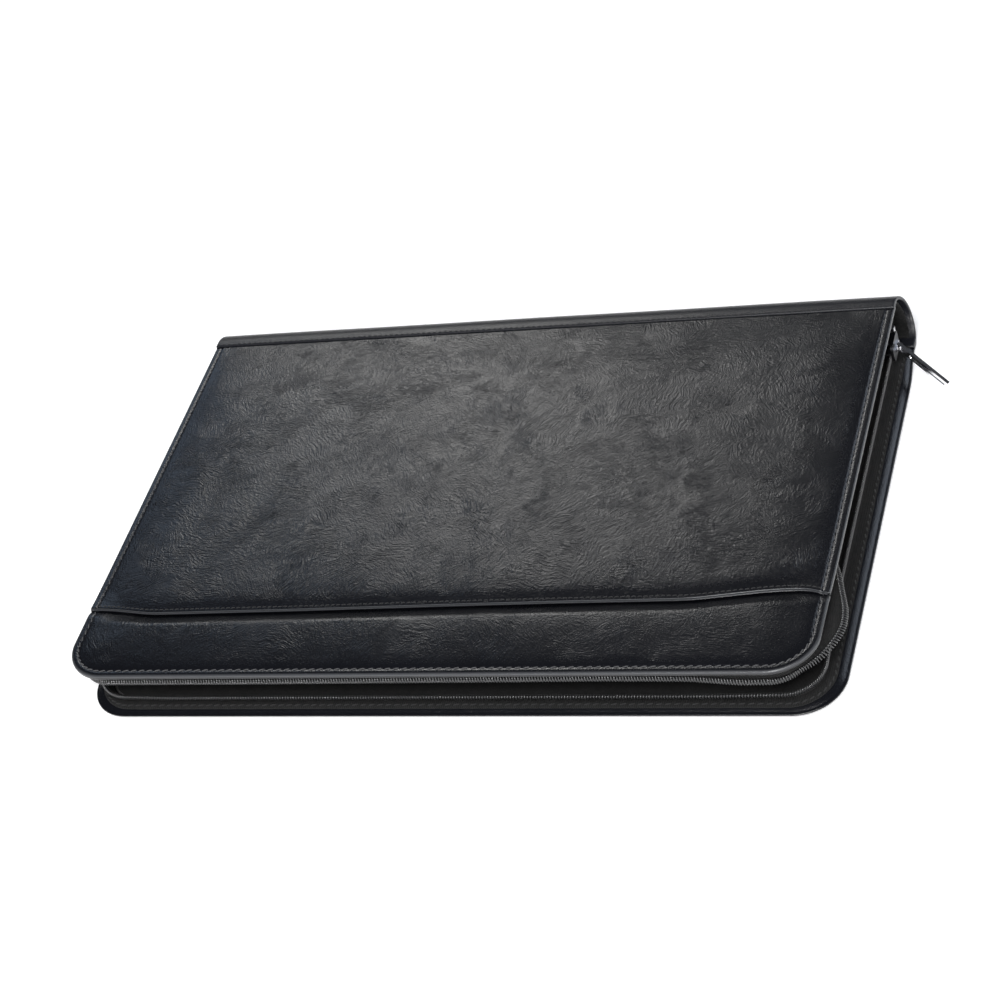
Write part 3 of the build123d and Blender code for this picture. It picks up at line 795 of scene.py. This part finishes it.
def rim_stitches(name, inset, height, up, shift, body, spare=0.0, front_spare=0.0, thread=None,
                 first=6.0, last=4.0):
    """Stitches that follow a cover's open rim, slanted, in a groove."""
    at = np.arange(first, RIM_RUN - last, STITCH_PITCH)
    spots, normals = rim(at)
    ways, _ = rim(at + 0.5)
    back, _ = rim(at - 0.5)
    plan = spots - normals * inset
    z = height(plan[:, 0], plan[:, 1])
    along = ways - back
    along = unit(along)
    widened = spare * smooth((SEAM_Y - plan[:, 1]) / SIDE_SPARE_RUN)
    plan_x = plan[:, 0] * (HALF + widened) / HALF + shift
    moved = smooth((FRONT + FRONT_SPARE_RUN - plan[:, 1]) / FRONT_SPARE_RUN)
    plan_y = plan[:, 1] - front_spare * moved
    places = columns(plan_x, plan_y, z)
    way = columns(along[:, 0], along[:, 1], np.zeros(len(at)))
    ups = np.tile([0.0, 0.0, float(up)], (len(at), 1))
    return stitch_row(name, places, way, ups, (3.0, 0.66, 0.58), 0.28 * up,
                      thread or EDGE_THREAD, "leather", body)


def top_height(x, y):
    """Height of the perimeter stitches on the front cover."""
    return np.where(y > hem_line(x), panel_face(x, y), strip_face(x, y)) + 0.18


rim_stitches("front_cover_stitches", STITCH_IN, top_height, 1, FRONT_X, "front_cover")
rim_stitches("back_cover_stitches", STITCH_IN, lambda x, y: back_face(x, y) - 0.04, -1,
             BACK_X, "back_cover", spare=SIDE_SPARE, front_spare=FRONT_SPARE)
foot_top = box_mm("lower_zip_tape")[0][2] + TAPE_FOOT
rim_stitches("lower_tape_stitches", STITCH_IN, lambda x, y: 0 * x + foot_top + 0.05, 1,
             BACK_X, "back_cover", thread=DARK_THREAD)
foot_low = box_mm("upper_zip_tape")[1][2] - TAPE_FOOT
rim_stitches("upper_tape_stitches", STITCH_IN, lambda x, y: 0 * x + foot_low - 0.05, -1,
             FRONT_X, "front_cover", thread=DARK_THREAD)


def line_stitches(name, x_range, pitch, place, size, slant, material, body, slot="leather"):
    """A straight row of stitches along X, at the height that place gives."""
    xs = np.arange(x_range[0], x_range[1], pitch)
    spots = np.array([place(x) for x in xs])
    ahead = np.array([place(x + 0.5) for x in xs])
    ways = ahead - spots
    ways = unit(ways)
    ups = np.tile([0.0, 0.0, 1.0 if spots[0, 2] > MID_Z else -1.0], (len(xs), 1))
    return stitch_row(name, spots, ways, ups, size, slant, material, slot, body)


def hem_place(x):
    """Place of a stitch along the mouth."""
    at = np.array([float(x)])
    y = hem_line(at) + 1.5
    return np.array([x + FRONT_X, y[0], panel_face(at, y)[0] + 0.06])


line_stitches("mouth_stitches", (-170, 171), 2.6, hem_place, (2.1, 0.6, 0.5), 0.12,
              DARK_THREAD, "front_cover")
line_stitches("spine_seam_stitches_front", (-173.5, 174), 2.9,
              lambda x: np.array([x + FRONT_X, TAB_EDGE + 1.0, 2 * SPINE_R + 0.04]),
              (2.3, 0.6, 0.45), 0.0, DARK_THREAD, "front_cover")
line_stitches("spine_seam_stitches_back", (-173.5, 174), 2.9,
              lambda x: np.array([x + BACK_X, TAB_EDGE + 1.0, 0.16]),
              (2.3, 0.6, 0.3), 0.0, DARK_THREAD, "back_cover")

# ---------------------------------------------------------------- zip
A1 = SIDE_RUN
A2 = A1 + CORNER_RUN
A3 = A2 + ACROSS_RUN
A4 = A3 + CORNER_RUN
LOW_FOOT = 2.9
UP_FOOT = 23.6
# Each tape's section by length round the rim, from the rear left corner: how far in from the rim
# its tip, fold and foot stand, and the height of the tip.
LOWER_LEAN = {
    "tip_in": [(0, 8.1), (120, 7.4), (A1, 5.2), (A2 + 20, 4.1), (A3 - 30, 4.0), (A3, 4.4),
               (A4, 6.8), (A4 + 40, 8.1), (RIM_RUN, 8.1)],
    "tip_z": [(0, 10.8), (120, 10.2), (A1, 9.0), (A2 + 20, 8.5), (A3 - 30, 8.5), (A3, 8.7),
              (A4, 9.8), (A4 + 40, 10.8), (RIM_RUN, 10.8)],
    "fold_in": [(0, 8.0), (A1, 7.4), (A3, 7.4), (RIM_RUN, 8.0)],
    "foot_in": [(0, 2.4), (A1, 2.4), (A2, 1.5), (A3, 1.5), (A4, 2.4), (RIM_RUN, 2.4)],
}
UPPER_LEAN = {
    "tip_in": [(0, 8.1), (120, 7.4), (A1, 5.4), (A2, 4.4), (A2 + 60, 4.2), (A3 - 60, 5.0),
               (A3 - 34, 5.2), (A3 - 12, 3.4), (A3 + 9, 4.0), (A3 + 18, 5.2), (A3 + 27, 2.4),
               (A4 + 4, -2.8), (A4 + 12, -5.2), (A4 + 22, -4.4), (A4 + 30, -1.8), (A4 + 40, 1.0),
               (A4 + 56, 7.6), (A4 + 66, 8.1), (RIM_RUN, 8.1)],
    "tip_z": [(0, 19.4), (120, 19.0), (A1, 18.4), (A2 + 40, 18.6), (A3 - 70, 18.4),
              (A3 - 14, 17.2), (A3 + 16, 16.8), (A4, 16.8), (A4 + 24, 17.0), (A4 + 34, 18.2),
              (A4 + 44, 19.8), (RIM_RUN, 19.6)],
    "fold_in": [(0, 8.0), (A1, 6.8), (A2 + 40, 6.0), (A3 - 60, 6.0), (A3, 5.0), (A4, 4.2),
                (A4 + 30, 5.6), (A4 + 60, 8.0), (RIM_RUN, 8.0)],
    "foot_in": [(0, 1.5), (RIM_RUN, 1.5)],
}


def tape_section(lean, foot_z, at):
    """Centre lines of the tape, one per length: foot, fold and standing wall."""
    tip_in = keyed(lean["tip_in"], at, 5.0)
    tip_z = keyed(lean["tip_z"], at)
    fold_in = keyed(lean["fold_in"], at)
    foot_in = keyed(lean["foot_in"], at)
    way = np.sign(tip_z - foot_z)
    rows = []
    for share in (0.0, 0.2, 0.45, 0.7, 1.0):
        inset = foot_in + (fold_in - 1.1 - foot_in) * share
        rows.append(columns(inset, np.full(len(at), foot_z)))
    rows.append(columns(fold_in - 0.45, foot_z + way * 0.08))
    rows.append(columns(fold_in - 0.08, foot_z + way * 0.32))
    start = columns(fold_in, foot_z + way * 0.75)
    tip = columns(tip_in, tip_z)
    lean_way = tip - start
    length = np.linalg.norm(lean_way, axis=1)[:, None]
    lean_way = lean_way / length
    upright = columns(np.zeros(len(at)), way)
    end_way = lean_way * 0.75 + upright * 0.25
    end_way = unit(end_way)
    for t in np.linspace(0, 1, 9):
        b0, b1 = (1 - t) ** 3, 3 * t * (1 - t) ** 2
        b2, b3 = 3 * t * t * (1 - t), t ** 3
        rows.append(b0 * start + b1 * (start + upright * length * 0.35)
                    + b2 * (tip - end_way * length * 0.3) + b3 * tip)
    return np.stack(rows), end_way


def on_rim(at, inset, z, shift):
    """Points at lengths round the rim, set in from it, at a height."""
    spots, normals = rim(at)
    plan = spots - normals * inset[:, None]
    return columns(plan[:, 0] + shift, plan[:, 1], z)


def zip_tape(name, lean, foot_z, shift, body, thick=0.6):
    """Woven zip tape: a foot sewn to the cover's rim, and a wall that leans as it likes."""
    at = np.concatenate([np.arange(0, A1, 2.0), np.arange(A1, A2, 1.2), np.arange(A2, A3, 2.0),
                         np.arange(A3, A4, 1.2), np.arange(A4, RIM_RUN, 2.0), [RIM_RUN]])
    lines, _ = tape_section(lean, foot_z, at)
    along = np.gradient(lines, axis=0)
    along = unit(along)
    side = np.stack([-along[:, :, 1], along[:, :, 0]], axis=2)
    row = np.arange(len(lines))[:, None]
    flutter = wander(at + 0 * row, row + 0 * at, 23.0, 0.30, 5.0)
    flutter = flutter * smooth((row - 7) / 5.0) * smooth(at / 40) * smooth((A4 + 20 - at) / 40)
    lines = lines + side * flutter[:, :, None]
    loop = np.concatenate([lines + side * thick / 2, (lines - side * thick / 2)[::-1]])
    points = np.stack([on_rim(at, ring[:, 0], ring[:, 1], shift) for ring in loop], axis=1)
    stations, around = points.shape[:2]
    faces = grid_faces(stations, around, close=True)
    half = around // 2
    for row in (0, stations - 1):
        base = row * around
        for k in range(half - 1):
            faces.append([base + k, base + k + 1, base + around - 2 - k, base + around - 1 - k])
    return add_mesh(name, points.reshape(-1, 3), faces, TAPE_WEAVE, "zip_tape", body)


def zip_coil(name, lean, foot_z, shift, body, first, last):
    """Nylon coil: one filament wound along the outer face of the tape's free edge."""
    pitch, filament = 1.3, 0.34
    turn_steps = 14
    at = np.arange(first, last, pitch / turn_steps)
    lines, end_way = tape_section(lean, foot_z, at)
    tip = lines[-1]
    out = columns(-np.abs(end_way[:, 1]), end_way[:, 0] * np.sign(end_way[:, 1]))
    centre = tip + out * 1.0 - end_way * 0.1
    phase = 2 * math.pi * (at - first) / pitch
    flat = 0.70 - filament * 0.9
    tall = 1.65 - filament * 0.9
    ring = centre + out * (flat * np.cos(phase))[:, None]
    ring = ring + end_way * (tall * np.sin(phase))[:, None]
    path = on_rim(at, ring[:, 0], ring[:, 1], shift)
    tangent = np.gradient(path, axis=0)
    tangent = unit(tangent)
    middle = on_rim(at, centre[:, 0], centre[:, 1], shift)
    radial = path - middle
    radial -= tangent * (radial * tangent).sum(axis=1)[:, None]
    radial = unit(radial)
    binormal = np.cross(tangent, radial)
    sides = 6
    turns = np.arange(sides) * 2 * math.pi / sides
    tube = (path[:, None, :]
            + filament * np.cos(turns)[None, :, None] * radial[:, None, :]
            + filament * 0.9 * np.sin(turns)[None, :, None] * binormal[:, None, :])
    faces = grid_faces(len(at), sides, close=True)
    faces += [list(range(sides)), [len(at) * sides - 1 - k for k in range(sides)]]
    return add_mesh(name, tube.reshape(-1, 3), faces, COIL, "zip_coil", body, outside=False)


COIL_END = RIM_REAR - COIL_REAR
lower_tape = zip_tape("lower_tape_weave", LOWER_LEAN, LOW_FOOT, BACK_X, "back_cover")
upper_tape = zip_tape("upper_tape_weave", UPPER_LEAN, UP_FOOT, FRONT_X, "front_cover")
lower_coil = zip_coil("lower_coil_teeth", LOWER_LEAN, LOW_FOOT, BACK_X, "back_cover",
                      COIL_END, RIM_RUN - COIL_END)
upper_coil = zip_coil("upper_coil_teeth", UPPER_LEAN, UP_FOOT, FRONT_X, "front_cover",
                      COIL_END, RIM_RUN - COIL_END)
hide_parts("lower_zip_tape")
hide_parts("upper_zip_tape")
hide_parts("lower_zip_coil")
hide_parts("upper_zip_coil")


# ---------------------------------------------------------------- soft layers
def sheet_grid(low, high, steps, pitch, front, rear=0.0):
    """A rectangle of points with rounded corners, close together near its edges."""
    xs, ys = (spread(low[i], high[i], steps, pitch) for i in (0, 1))
    gx, gy = np.meshgrid(xs, ys)
    return rounded(gx, gy, low, high, front, rear)


def border(rows, cols):
    """Vertices round the edge of a grid, in order."""
    index = np.arange(rows * cols).reshape(rows, cols)
    return np.concatenate([index[0, :-1], index[:-1, -1], index[-1, :0:-1], index[:0:-1, 0]])


def slab(name, low, high, corners, face, up, thick, pitch, material, slot, body, shift=0.0):
    """A flat soft layer with rounded edges: closed, its outer face given by a height."""
    r = min(thick / 2, 0.8)
    px, py = sheet_grid((low[0] + r, low[1] + r), (high[0] - r, high[1] - r), [0, 0.6, 1.4], pitch,
                        max(corners[0] - r, 0.0), max(corners[1] - r, 0.0))
    pz = face(px, py)
    rows, cols = px.shape
    loop = border(rows, cols)
    top = columns(px.ravel(), py.ravel(), pz.ravel())
    edge = top[loop]
    around = np.roll(edge[:, :2], -1, axis=0) - np.roll(edge[:, :2], 1, axis=0)
    out = columns(around[:, 1], -around[:, 0])
    out = unit(out)
    rings = []
    for a in np.linspace(0, math.pi, 5)[1:-1]:
        ring = edge.copy()
        ring[:, :2] += out * r * math.sin(a)
        ring[:, 2] -= up * thick / 2 * (1 - math.cos(a))
        rings.append(ring)
    under = top.copy()
    under[:, 2] -= up * thick
    points = np.concatenate([top, *rings, under])
    faces = grid_faces(rows, cols)
    faces += [f[::-1] for f in grid_faces(rows, cols, start=rows * cols + len(rings) * len(loop))]
    chain = [loop]
    chain += [rows * cols + k * len(loop) + np.arange(len(loop)) for k in range(len(rings))]
    chain.append(loop + rows * cols + len(rings) * len(loop))
    for a, b in zip(chain[:-1], chain[1:]):
        faces += columns(a, np.roll(a, -1), np.roll(b, -1), b).tolist()
    return add_mesh(name, points, faces, material, slot, body, shift)


def layer_box(node, shift):
    """A CAD node's box, with its cover's sideways shift taken off."""
    low, high = box_mm(node)
    low[0] -= shift
    high[0] -= shift
    return low, high


# padding under the leather of both covers
board_top = layer_box("front_board", FRONT_X)[1][2]


def padding_top(x, y):
    """Height of the front padding: the leather above it, less its thickness."""
    hem = hem_line(x)
    under_panel = smooth((y - hem - 1.0) / 4.0)
    inside = 1 - under_panel
    return np.maximum(panel_face(x, np.maximum(y, hem)) * under_panel
                      + (strip_face(x, y) - 0.1) * inside - 1.6, board_top + 0.15)


def varying_pad(name, low, high, corner, top, base, pitch, material, slot, body, shift):
    """Padding of uneven thickness: a shaped top over a level base."""
    px, py = sheet_grid(low, high, [0, 1.0, 2.5], pitch, corner)
    rows, cols = px.shape
    loop = border(rows, cols)
    upper = columns(px.ravel(), py.ravel(), top(px, py).ravel())
    lower = upper.copy()
    lower[:, 2] = base
    faces = grid_faces(rows, cols) + [f[::-1] for f in grid_faces(rows, cols, start=rows * cols)]
    near = columns(loop, np.roll(loop, -1))
    faces += np.concatenate([near, near[:, ::-1] + rows * cols], axis=1).tolist()
    return add_mesh(name, np.concatenate([upper, lower]), faces, material, slot, body, shift)


def foam_material():
    """Fine open-cell foam."""
    p = Paint("thin_foam", Roughness=0.95)
    cells = p.node("ShaderNodeTexVoronoi", Vector=p.place(), Scale=2.2).outputs[0]
    p.colour(p.blend(cells, grey(0.10), grey(0.30)))
    p.bump(cells, 0.2)
    return p.material


FOAM = foam_material()
PAD_IN = 3.0            # padding, in from the rim
pad_area = (-HALF + PAD_IN, FRONT + PAD_IN), (HALF - PAD_IN, SEAM_Y - PAD_IN), CORNER - PAD_IN
front_pad = varying_pad("front_padding", *pad_area, padding_top, board_top + 0.02, 3.0, FOAM,
                        "foam", "front_cover", FRONT_X)
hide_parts("front_foam")
back_board_low = layer_box("back_board", BACK_X)[0][2]
back_pad = varying_pad("back_padding", *pad_area, lambda x, y: 0 * x + back_board_low - 0.02,
                       1.15, 6.0, FOAM, "foam", "back_cover", BACK_X)
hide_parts("back_foam")

# linings of the two covers
def lining(name, node, shift, up, body):
    """A cover's lining cloth, drawn over its board."""
    low, high = layer_box(node, shift)
    face_z = high[2] if up > 0 else low[2]

    def face(x, y):
        edge = rim_distance(x, y) - LINING_IN
        return face_z + up * (-0.12 + 0.12 * smooth(edge / 6.0)) + wander(x, y, 34.0, 0.08, 11.0)

    piece = slab(name, low, high, (CORNER - LINING_IN, 0.0), face, up, 0.5, 4.0, LINING_CLOTH,
                 "lining", body, shift)
    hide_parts(node)


lining("back_lining_cloth", "back_lining", BACK_X, 1, "back_cover")
lining("front_lining_cloth", "front_lining", FRONT_X, -1, "front_cover")

# ---- slip pocket's inner wall, under the panel
_, sheet_high = layer_box("slip_pocket_lining", FRONT_X)
SHEET_FRONT = MOUTH_Y + 7.5
slip_sheet = slab("slip_pocket_sheet", (-HALF + 6, SHEET_FRONT), (HALF - 6, sheet_high[1]),
                  (3.0, 3.0), lambda x, y: panel_face(x, np.maximum(y, hem_line(x))) - 1.05
                  - 0.75 * np.exp(-np.maximum(y - hem_line(x), 0) / 12.0),
                  1, 0.3, 4.0, SHEET_CLOTH, "lining", "front_cover", FRONT_X)
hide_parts("slip_pocket_lining")


# ---- inside pockets
def edge_stitches(name, points, up, body):
    """Stitches along an open line of corner points."""
    places, ways = [], []
    for a, b in zip(points[:-1], points[1:]):
        a, b = np.array(a, float), np.array(b, float)
        run = np.linalg.norm(b - a)
        count = max(1, int(run // 3.2))
        for k in range(count):
            places.append(a + (b - a) * (k + 0.5) / count)
            ways.append((b - a) / run)
    ups = np.tile([0.0, 0.0, float(up)], (len(places), 1))
    return stitch_row(name, np.array(places), np.array(ways), ups, (2.5, 0.55, 0.4), 0.1,
                      EDGE_THREAD, "pocket_leather", body)


def pocket(name, node, up, body, shift, mouth_lift, wave_seed):
    """Inside pocket, sewn on three sides, its mouth standing off a little."""
    low, high = layer_box(node, shift)
    face_z = high[2] if up > 0 else low[2]
    thick = high[2] - low[2]

    def face(x, y):
        open_share = smooth((x - (high[0] - 46)) / 46.0)
        middle = 1 - np.abs((y - (low[1] + high[1]) / 2) / ((high[1] - low[1]) / 2)) ** 2.4
        seam = np.minimum.reduce([x - low[0], y - low[1], high[1] - y])
        dent = 0.16 * np.exp(-(((seam - POCKET_STITCH_IN) / 0.7) ** 2))
        bulge = 0.35 * smooth((seam - 3) / 22.0)
        return face_z + up * (bulge * 0.5 + mouth_lift * open_share * np.maximum(middle, 0) - dent
                              ) + wander(x, y, 26.0, 0.06, wave_seed)

    piece = slab(name, low, high, (4.0, 4.0), face, up, thick, 2.4, POCKET_HIDE,
                 "pocket_leather", body, shift)
    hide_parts(node)
    inset = POCKET_STITCH_IN
    z = face_z + up * 0.02
    near, far = low[0] + inset + shift, high[0] - 6 + shift
    line = [(far, low[1] + inset, z), (near, low[1] + inset, z),
            (near, high[1] - inset, z), (far, high[1] - inset, z)]
    edge_stitches(name + "_stitches", line, up, body)
    return face


def binding(name, node, up, body, shift, face):
    """Grosgrain ribbon folded over a pocket's mouth."""
    low, high = layer_box(node, shift)
    thick = high[2] - low[2]

    def top(x, y):
        across = (x - low[0]) / (high[0] - low[0])
        return face(x, y) + up * (thick * (0.75 + 0.25 * np.sin(math.pi * across)))

    piece = slab(name, (low[0], low[1]), (high[0] + 0.5, high[1]), (0.8, 0.8), top, up,
                 thick + 0.25, 1.0, TRIM_WEAVE, "pocket_trim", body, shift)
    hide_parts(node)


pad_face = pocket("pad_pocket_panel", "pad_pocket", 1, "back_cover", BACK_X, 0.5, 2.0)
binding("pad_pocket_binding", "pad_pocket_trim", 1, "back_cover", BACK_X, pad_face)
doc_face = pocket("document_pocket_panel", "document_pocket", -1, "front_cover", FRONT_X, 0.6, 6.0)
binding("document_pocket_binding", "document_pocket_trim", -1, "front_cover", FRONT_X, doc_face)
for number in (1, 2, 3):
    node = f"card_slot_{number}"
    low, high = layer_box(node, FRONT_X)
    card = slab(
        f"card_slot_leather_{number}", low, high, (2.0, 2.0),
        lambda x, y, low=low, high=high: low[2] - 0.10 * smooth((x - high[0] + 9) / 6.0)
        + 0.12 * np.exp(-(((high[0] - POCKET_STITCH_IN - x) / 0.6) ** 2)),
        -1, 0.6, 1.6, POCKET_HIDE, "pocket_leather", "front_cover", FRONT_X,
    )
    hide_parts(node)
    mouth = high[0] - POCKET_STITCH_IN + FRONT_X
    edge_stitches(f"card_slot_stitches_{number}",
                  [(mouth, low[1] + 3, low[2] + 0.02), (mouth, high[1] - 3, low[2] + 0.02)], -1,
                  "front_cover")


# ---- elastic pen loop
def pen_loop():
    """Ribbed elastic tube on a flat base."""
    low, high = box_mm("pen_loop")
    radius, wall, rib_pitch = 6.0, 0.9, 1.0
    centre_y, centre_z = (low[1] + high[1]) / 2, high[2] - radius
    xs = np.arange(low[0], high[0] + 0.01, 0.2)
    turns = np.radians(np.linspace(0, 360, 49)[:-1])
    rib = 0.09 * np.sin(2 * math.pi * xs / rib_pitch)
    pinch = -0.25 * np.exp(-np.minimum(xs - low[0], high[0] - xs) / 0.8)
    reach = np.repeat([radius + rib + pinch, np.full(len(xs), radius - wall)], len(turns), axis=0)
    turn = np.tile(turns, 2)[:, None]
    points = np.stack([xs + 0 * reach, centre_y + reach * np.cos(turn),
                       centre_z + reach * np.sin(turn)], axis=2).transpose(1, 0, 2)
    n, total = len(turns), 2 * len(turns)
    faces = []
    for r in range(len(xs)):
        for k in range(n):
            a, b = r * total + k, r * total + (k + 1) % n
            if r < len(xs) - 1:
                faces += [(c, d, d + total, c + total) for c, d in ((a, b), (a + n, b + n))]
            if r in (0, len(xs) - 1):
                faces.append((a, b, b + n, a + n))
    loop = add_mesh("pen_loop_elastic", points.reshape(-1, 3), faces, ELASTIC_WEAVE, "elastic",
                    "front_cover")
    slab("pen_loop_base", low[:2], high[:2], (0.6, 0.6), lambda x, y: 0 * x + high[2] - 0.8, -1,
         0.75, 1.0, ELASTIC_WEAVE, "elastic", "front_cover")
    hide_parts("pen_loop")


pen_loop()

for piece, bodies, fold in (
    (spine_front, ("spine", "front_cover"), FRONT_FOLD),
    (spine_back, ("back_cover", "spine"), BACK_FOLD),
    (lining_front, ("spine", "front_cover"), FRONT_FOLD),
    (lining_back, ("back_cover", "spine"), BACK_FOLD),
):
    bend_between(piece, *bodies, fold)

# ---------------------------------------------------------------- CAD parts that stay
for node, material in (
    ("front_board", BOARD), ("back_board", BOARD),
    ("slider_body", DARK_NICKEL), ("slider_bail", CHROME), ("zip_pull", CHROME),
    ("zip_bottom_stop", STOP_METAL), ("lower_top_stop", STOP_METAL),
    ("upper_top_stop", STOP_METAL),
):
    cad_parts[node].data.materials.clear()
    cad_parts[node].data.materials.append(material)

# ---------------------------------------------------------------- camera, floor and light
AZIMUTH = math.radians(28.69)
ELEVATION = math.radians(39.70)
ROLL = math.radians(-21.17)
DISTANCE = 1.2223
AIM = Vector((0.0019, -0.0016, 0.014))
LENS = 95.83
SENSOR = 36.0
back = Vector((math.sin(AZIMUTH) * math.cos(ELEVATION), -math.cos(AZIMUTH) * math.cos(ELEVATION),
               math.sin(ELEVATION)))
level_right = Vector((math.cos(AZIMUTH), math.sin(AZIMUTH), 0.0))
level_up = back.cross(level_right)
right = level_right * math.cos(ROLL) + level_up * math.sin(ROLL)
up = level_up * math.cos(ROLL) - level_right * math.sin(ROLL)
camera_data = bpy.data.cameras.new("camera")
camera_data.lens = LENS
camera_data.sensor_width = SENSOR
camera_data.dof.use_dof = False
camera_data.clip_start = 0.05
camera_data.clip_end = 20.0
camera = bpy.data.objects.new("camera", camera_data)
turned = Matrix((right, up, back)).transposed().to_4x4()
camera.matrix_world = Matrix.Translation(AIM + back * DISTANCE) @ turned
scene.collection.objects.link(camera)
scene.camera = camera


def floor():
    """A level floor just under the case."""
    size, dip = 4.0, -0.0006
    work = bmesh.new()
    bmesh.ops.create_grid(work, x_segments=8, y_segments=8, size=size)
    mesh = bpy.data.meshes.new("floor")
    work.to_mesh(mesh)
    work.free()
    mesh.materials.append(floor_material("pale_floor"))
    piece = bpy.data.objects.new("floor", mesh)
    piece.location.z = dip
    scene.collection.objects.link(piece)


floor()


def softbox(name, way, distance, size, power, tint=(1, 1, 1)):
    """A soft area light in a direction from the case, facing it."""
    data = bpy.data.lights.new(name, "AREA")
    data.shape = "RECTANGLE"
    data.size, data.size_y = size
    data.energy = power
    data.color = tint
    light = bpy.data.objects.new(name, data)
    direction = Vector(way).normalized()
    light.location = direction * distance
    light.rotation_mode = "QUATERNION"
    light.rotation_quaternion = direction.to_track_quat("Z", "Y")
    scene.collection.objects.link(light)


def toward(azimuth, elevation):
    """Direction behind the case, by angles left of straight back and above the floor."""
    a, e = math.radians(azimuth), math.radians(elevation)
    return (-math.sin(a) * math.cos(e), math.cos(a) * math.cos(e), math.sin(e))


# sheen_light, pull_light and the two at the sides stand where the level leather and the pull
# mirror them towards the camera; top_light and front_light light the edges, tapes and threads.
softbox("sheen_light", toward(27, 34), 1.9, (0.42, 0.45), 4.5, (1.0, 0.99, 0.97))
softbox("left_light", (-0.62, 0.62, 0.50), 1.9, (0.35, 0.7), 1.0, (0.60, 0.76, 1.0))
softbox("rear_right_light", toward(-32, 34), 1.9, (0.7, 0.7), 4.0, (0.78, 0.86, 1.0))
softbox("pull_light", toward(9, 37), 1.7, (0.4, 0.36), 0.36)
softbox("top_light", (0.2, -0.6, 1.0), 2.6, (1.7, 1.7), 72.0)
softbox("front_light", (0.1, -1.0, 0.30), 3.0, (1.3, 0.35), 80.0)
softbox("right_light", (1.0, -0.05, 0.18), 1.6, (0.9, 0.35), 3.0)
world = bpy.data.worlds.new("studio")
world.use_nodes = True
sky = world.node_tree.nodes["Background"].inputs
sky[0].default_value = (0.85, 0.90, 1.0, 1.0)
sky[1].default_value = 0.05
scene.world = world
scene.view_settings.view_transform = "Standard"
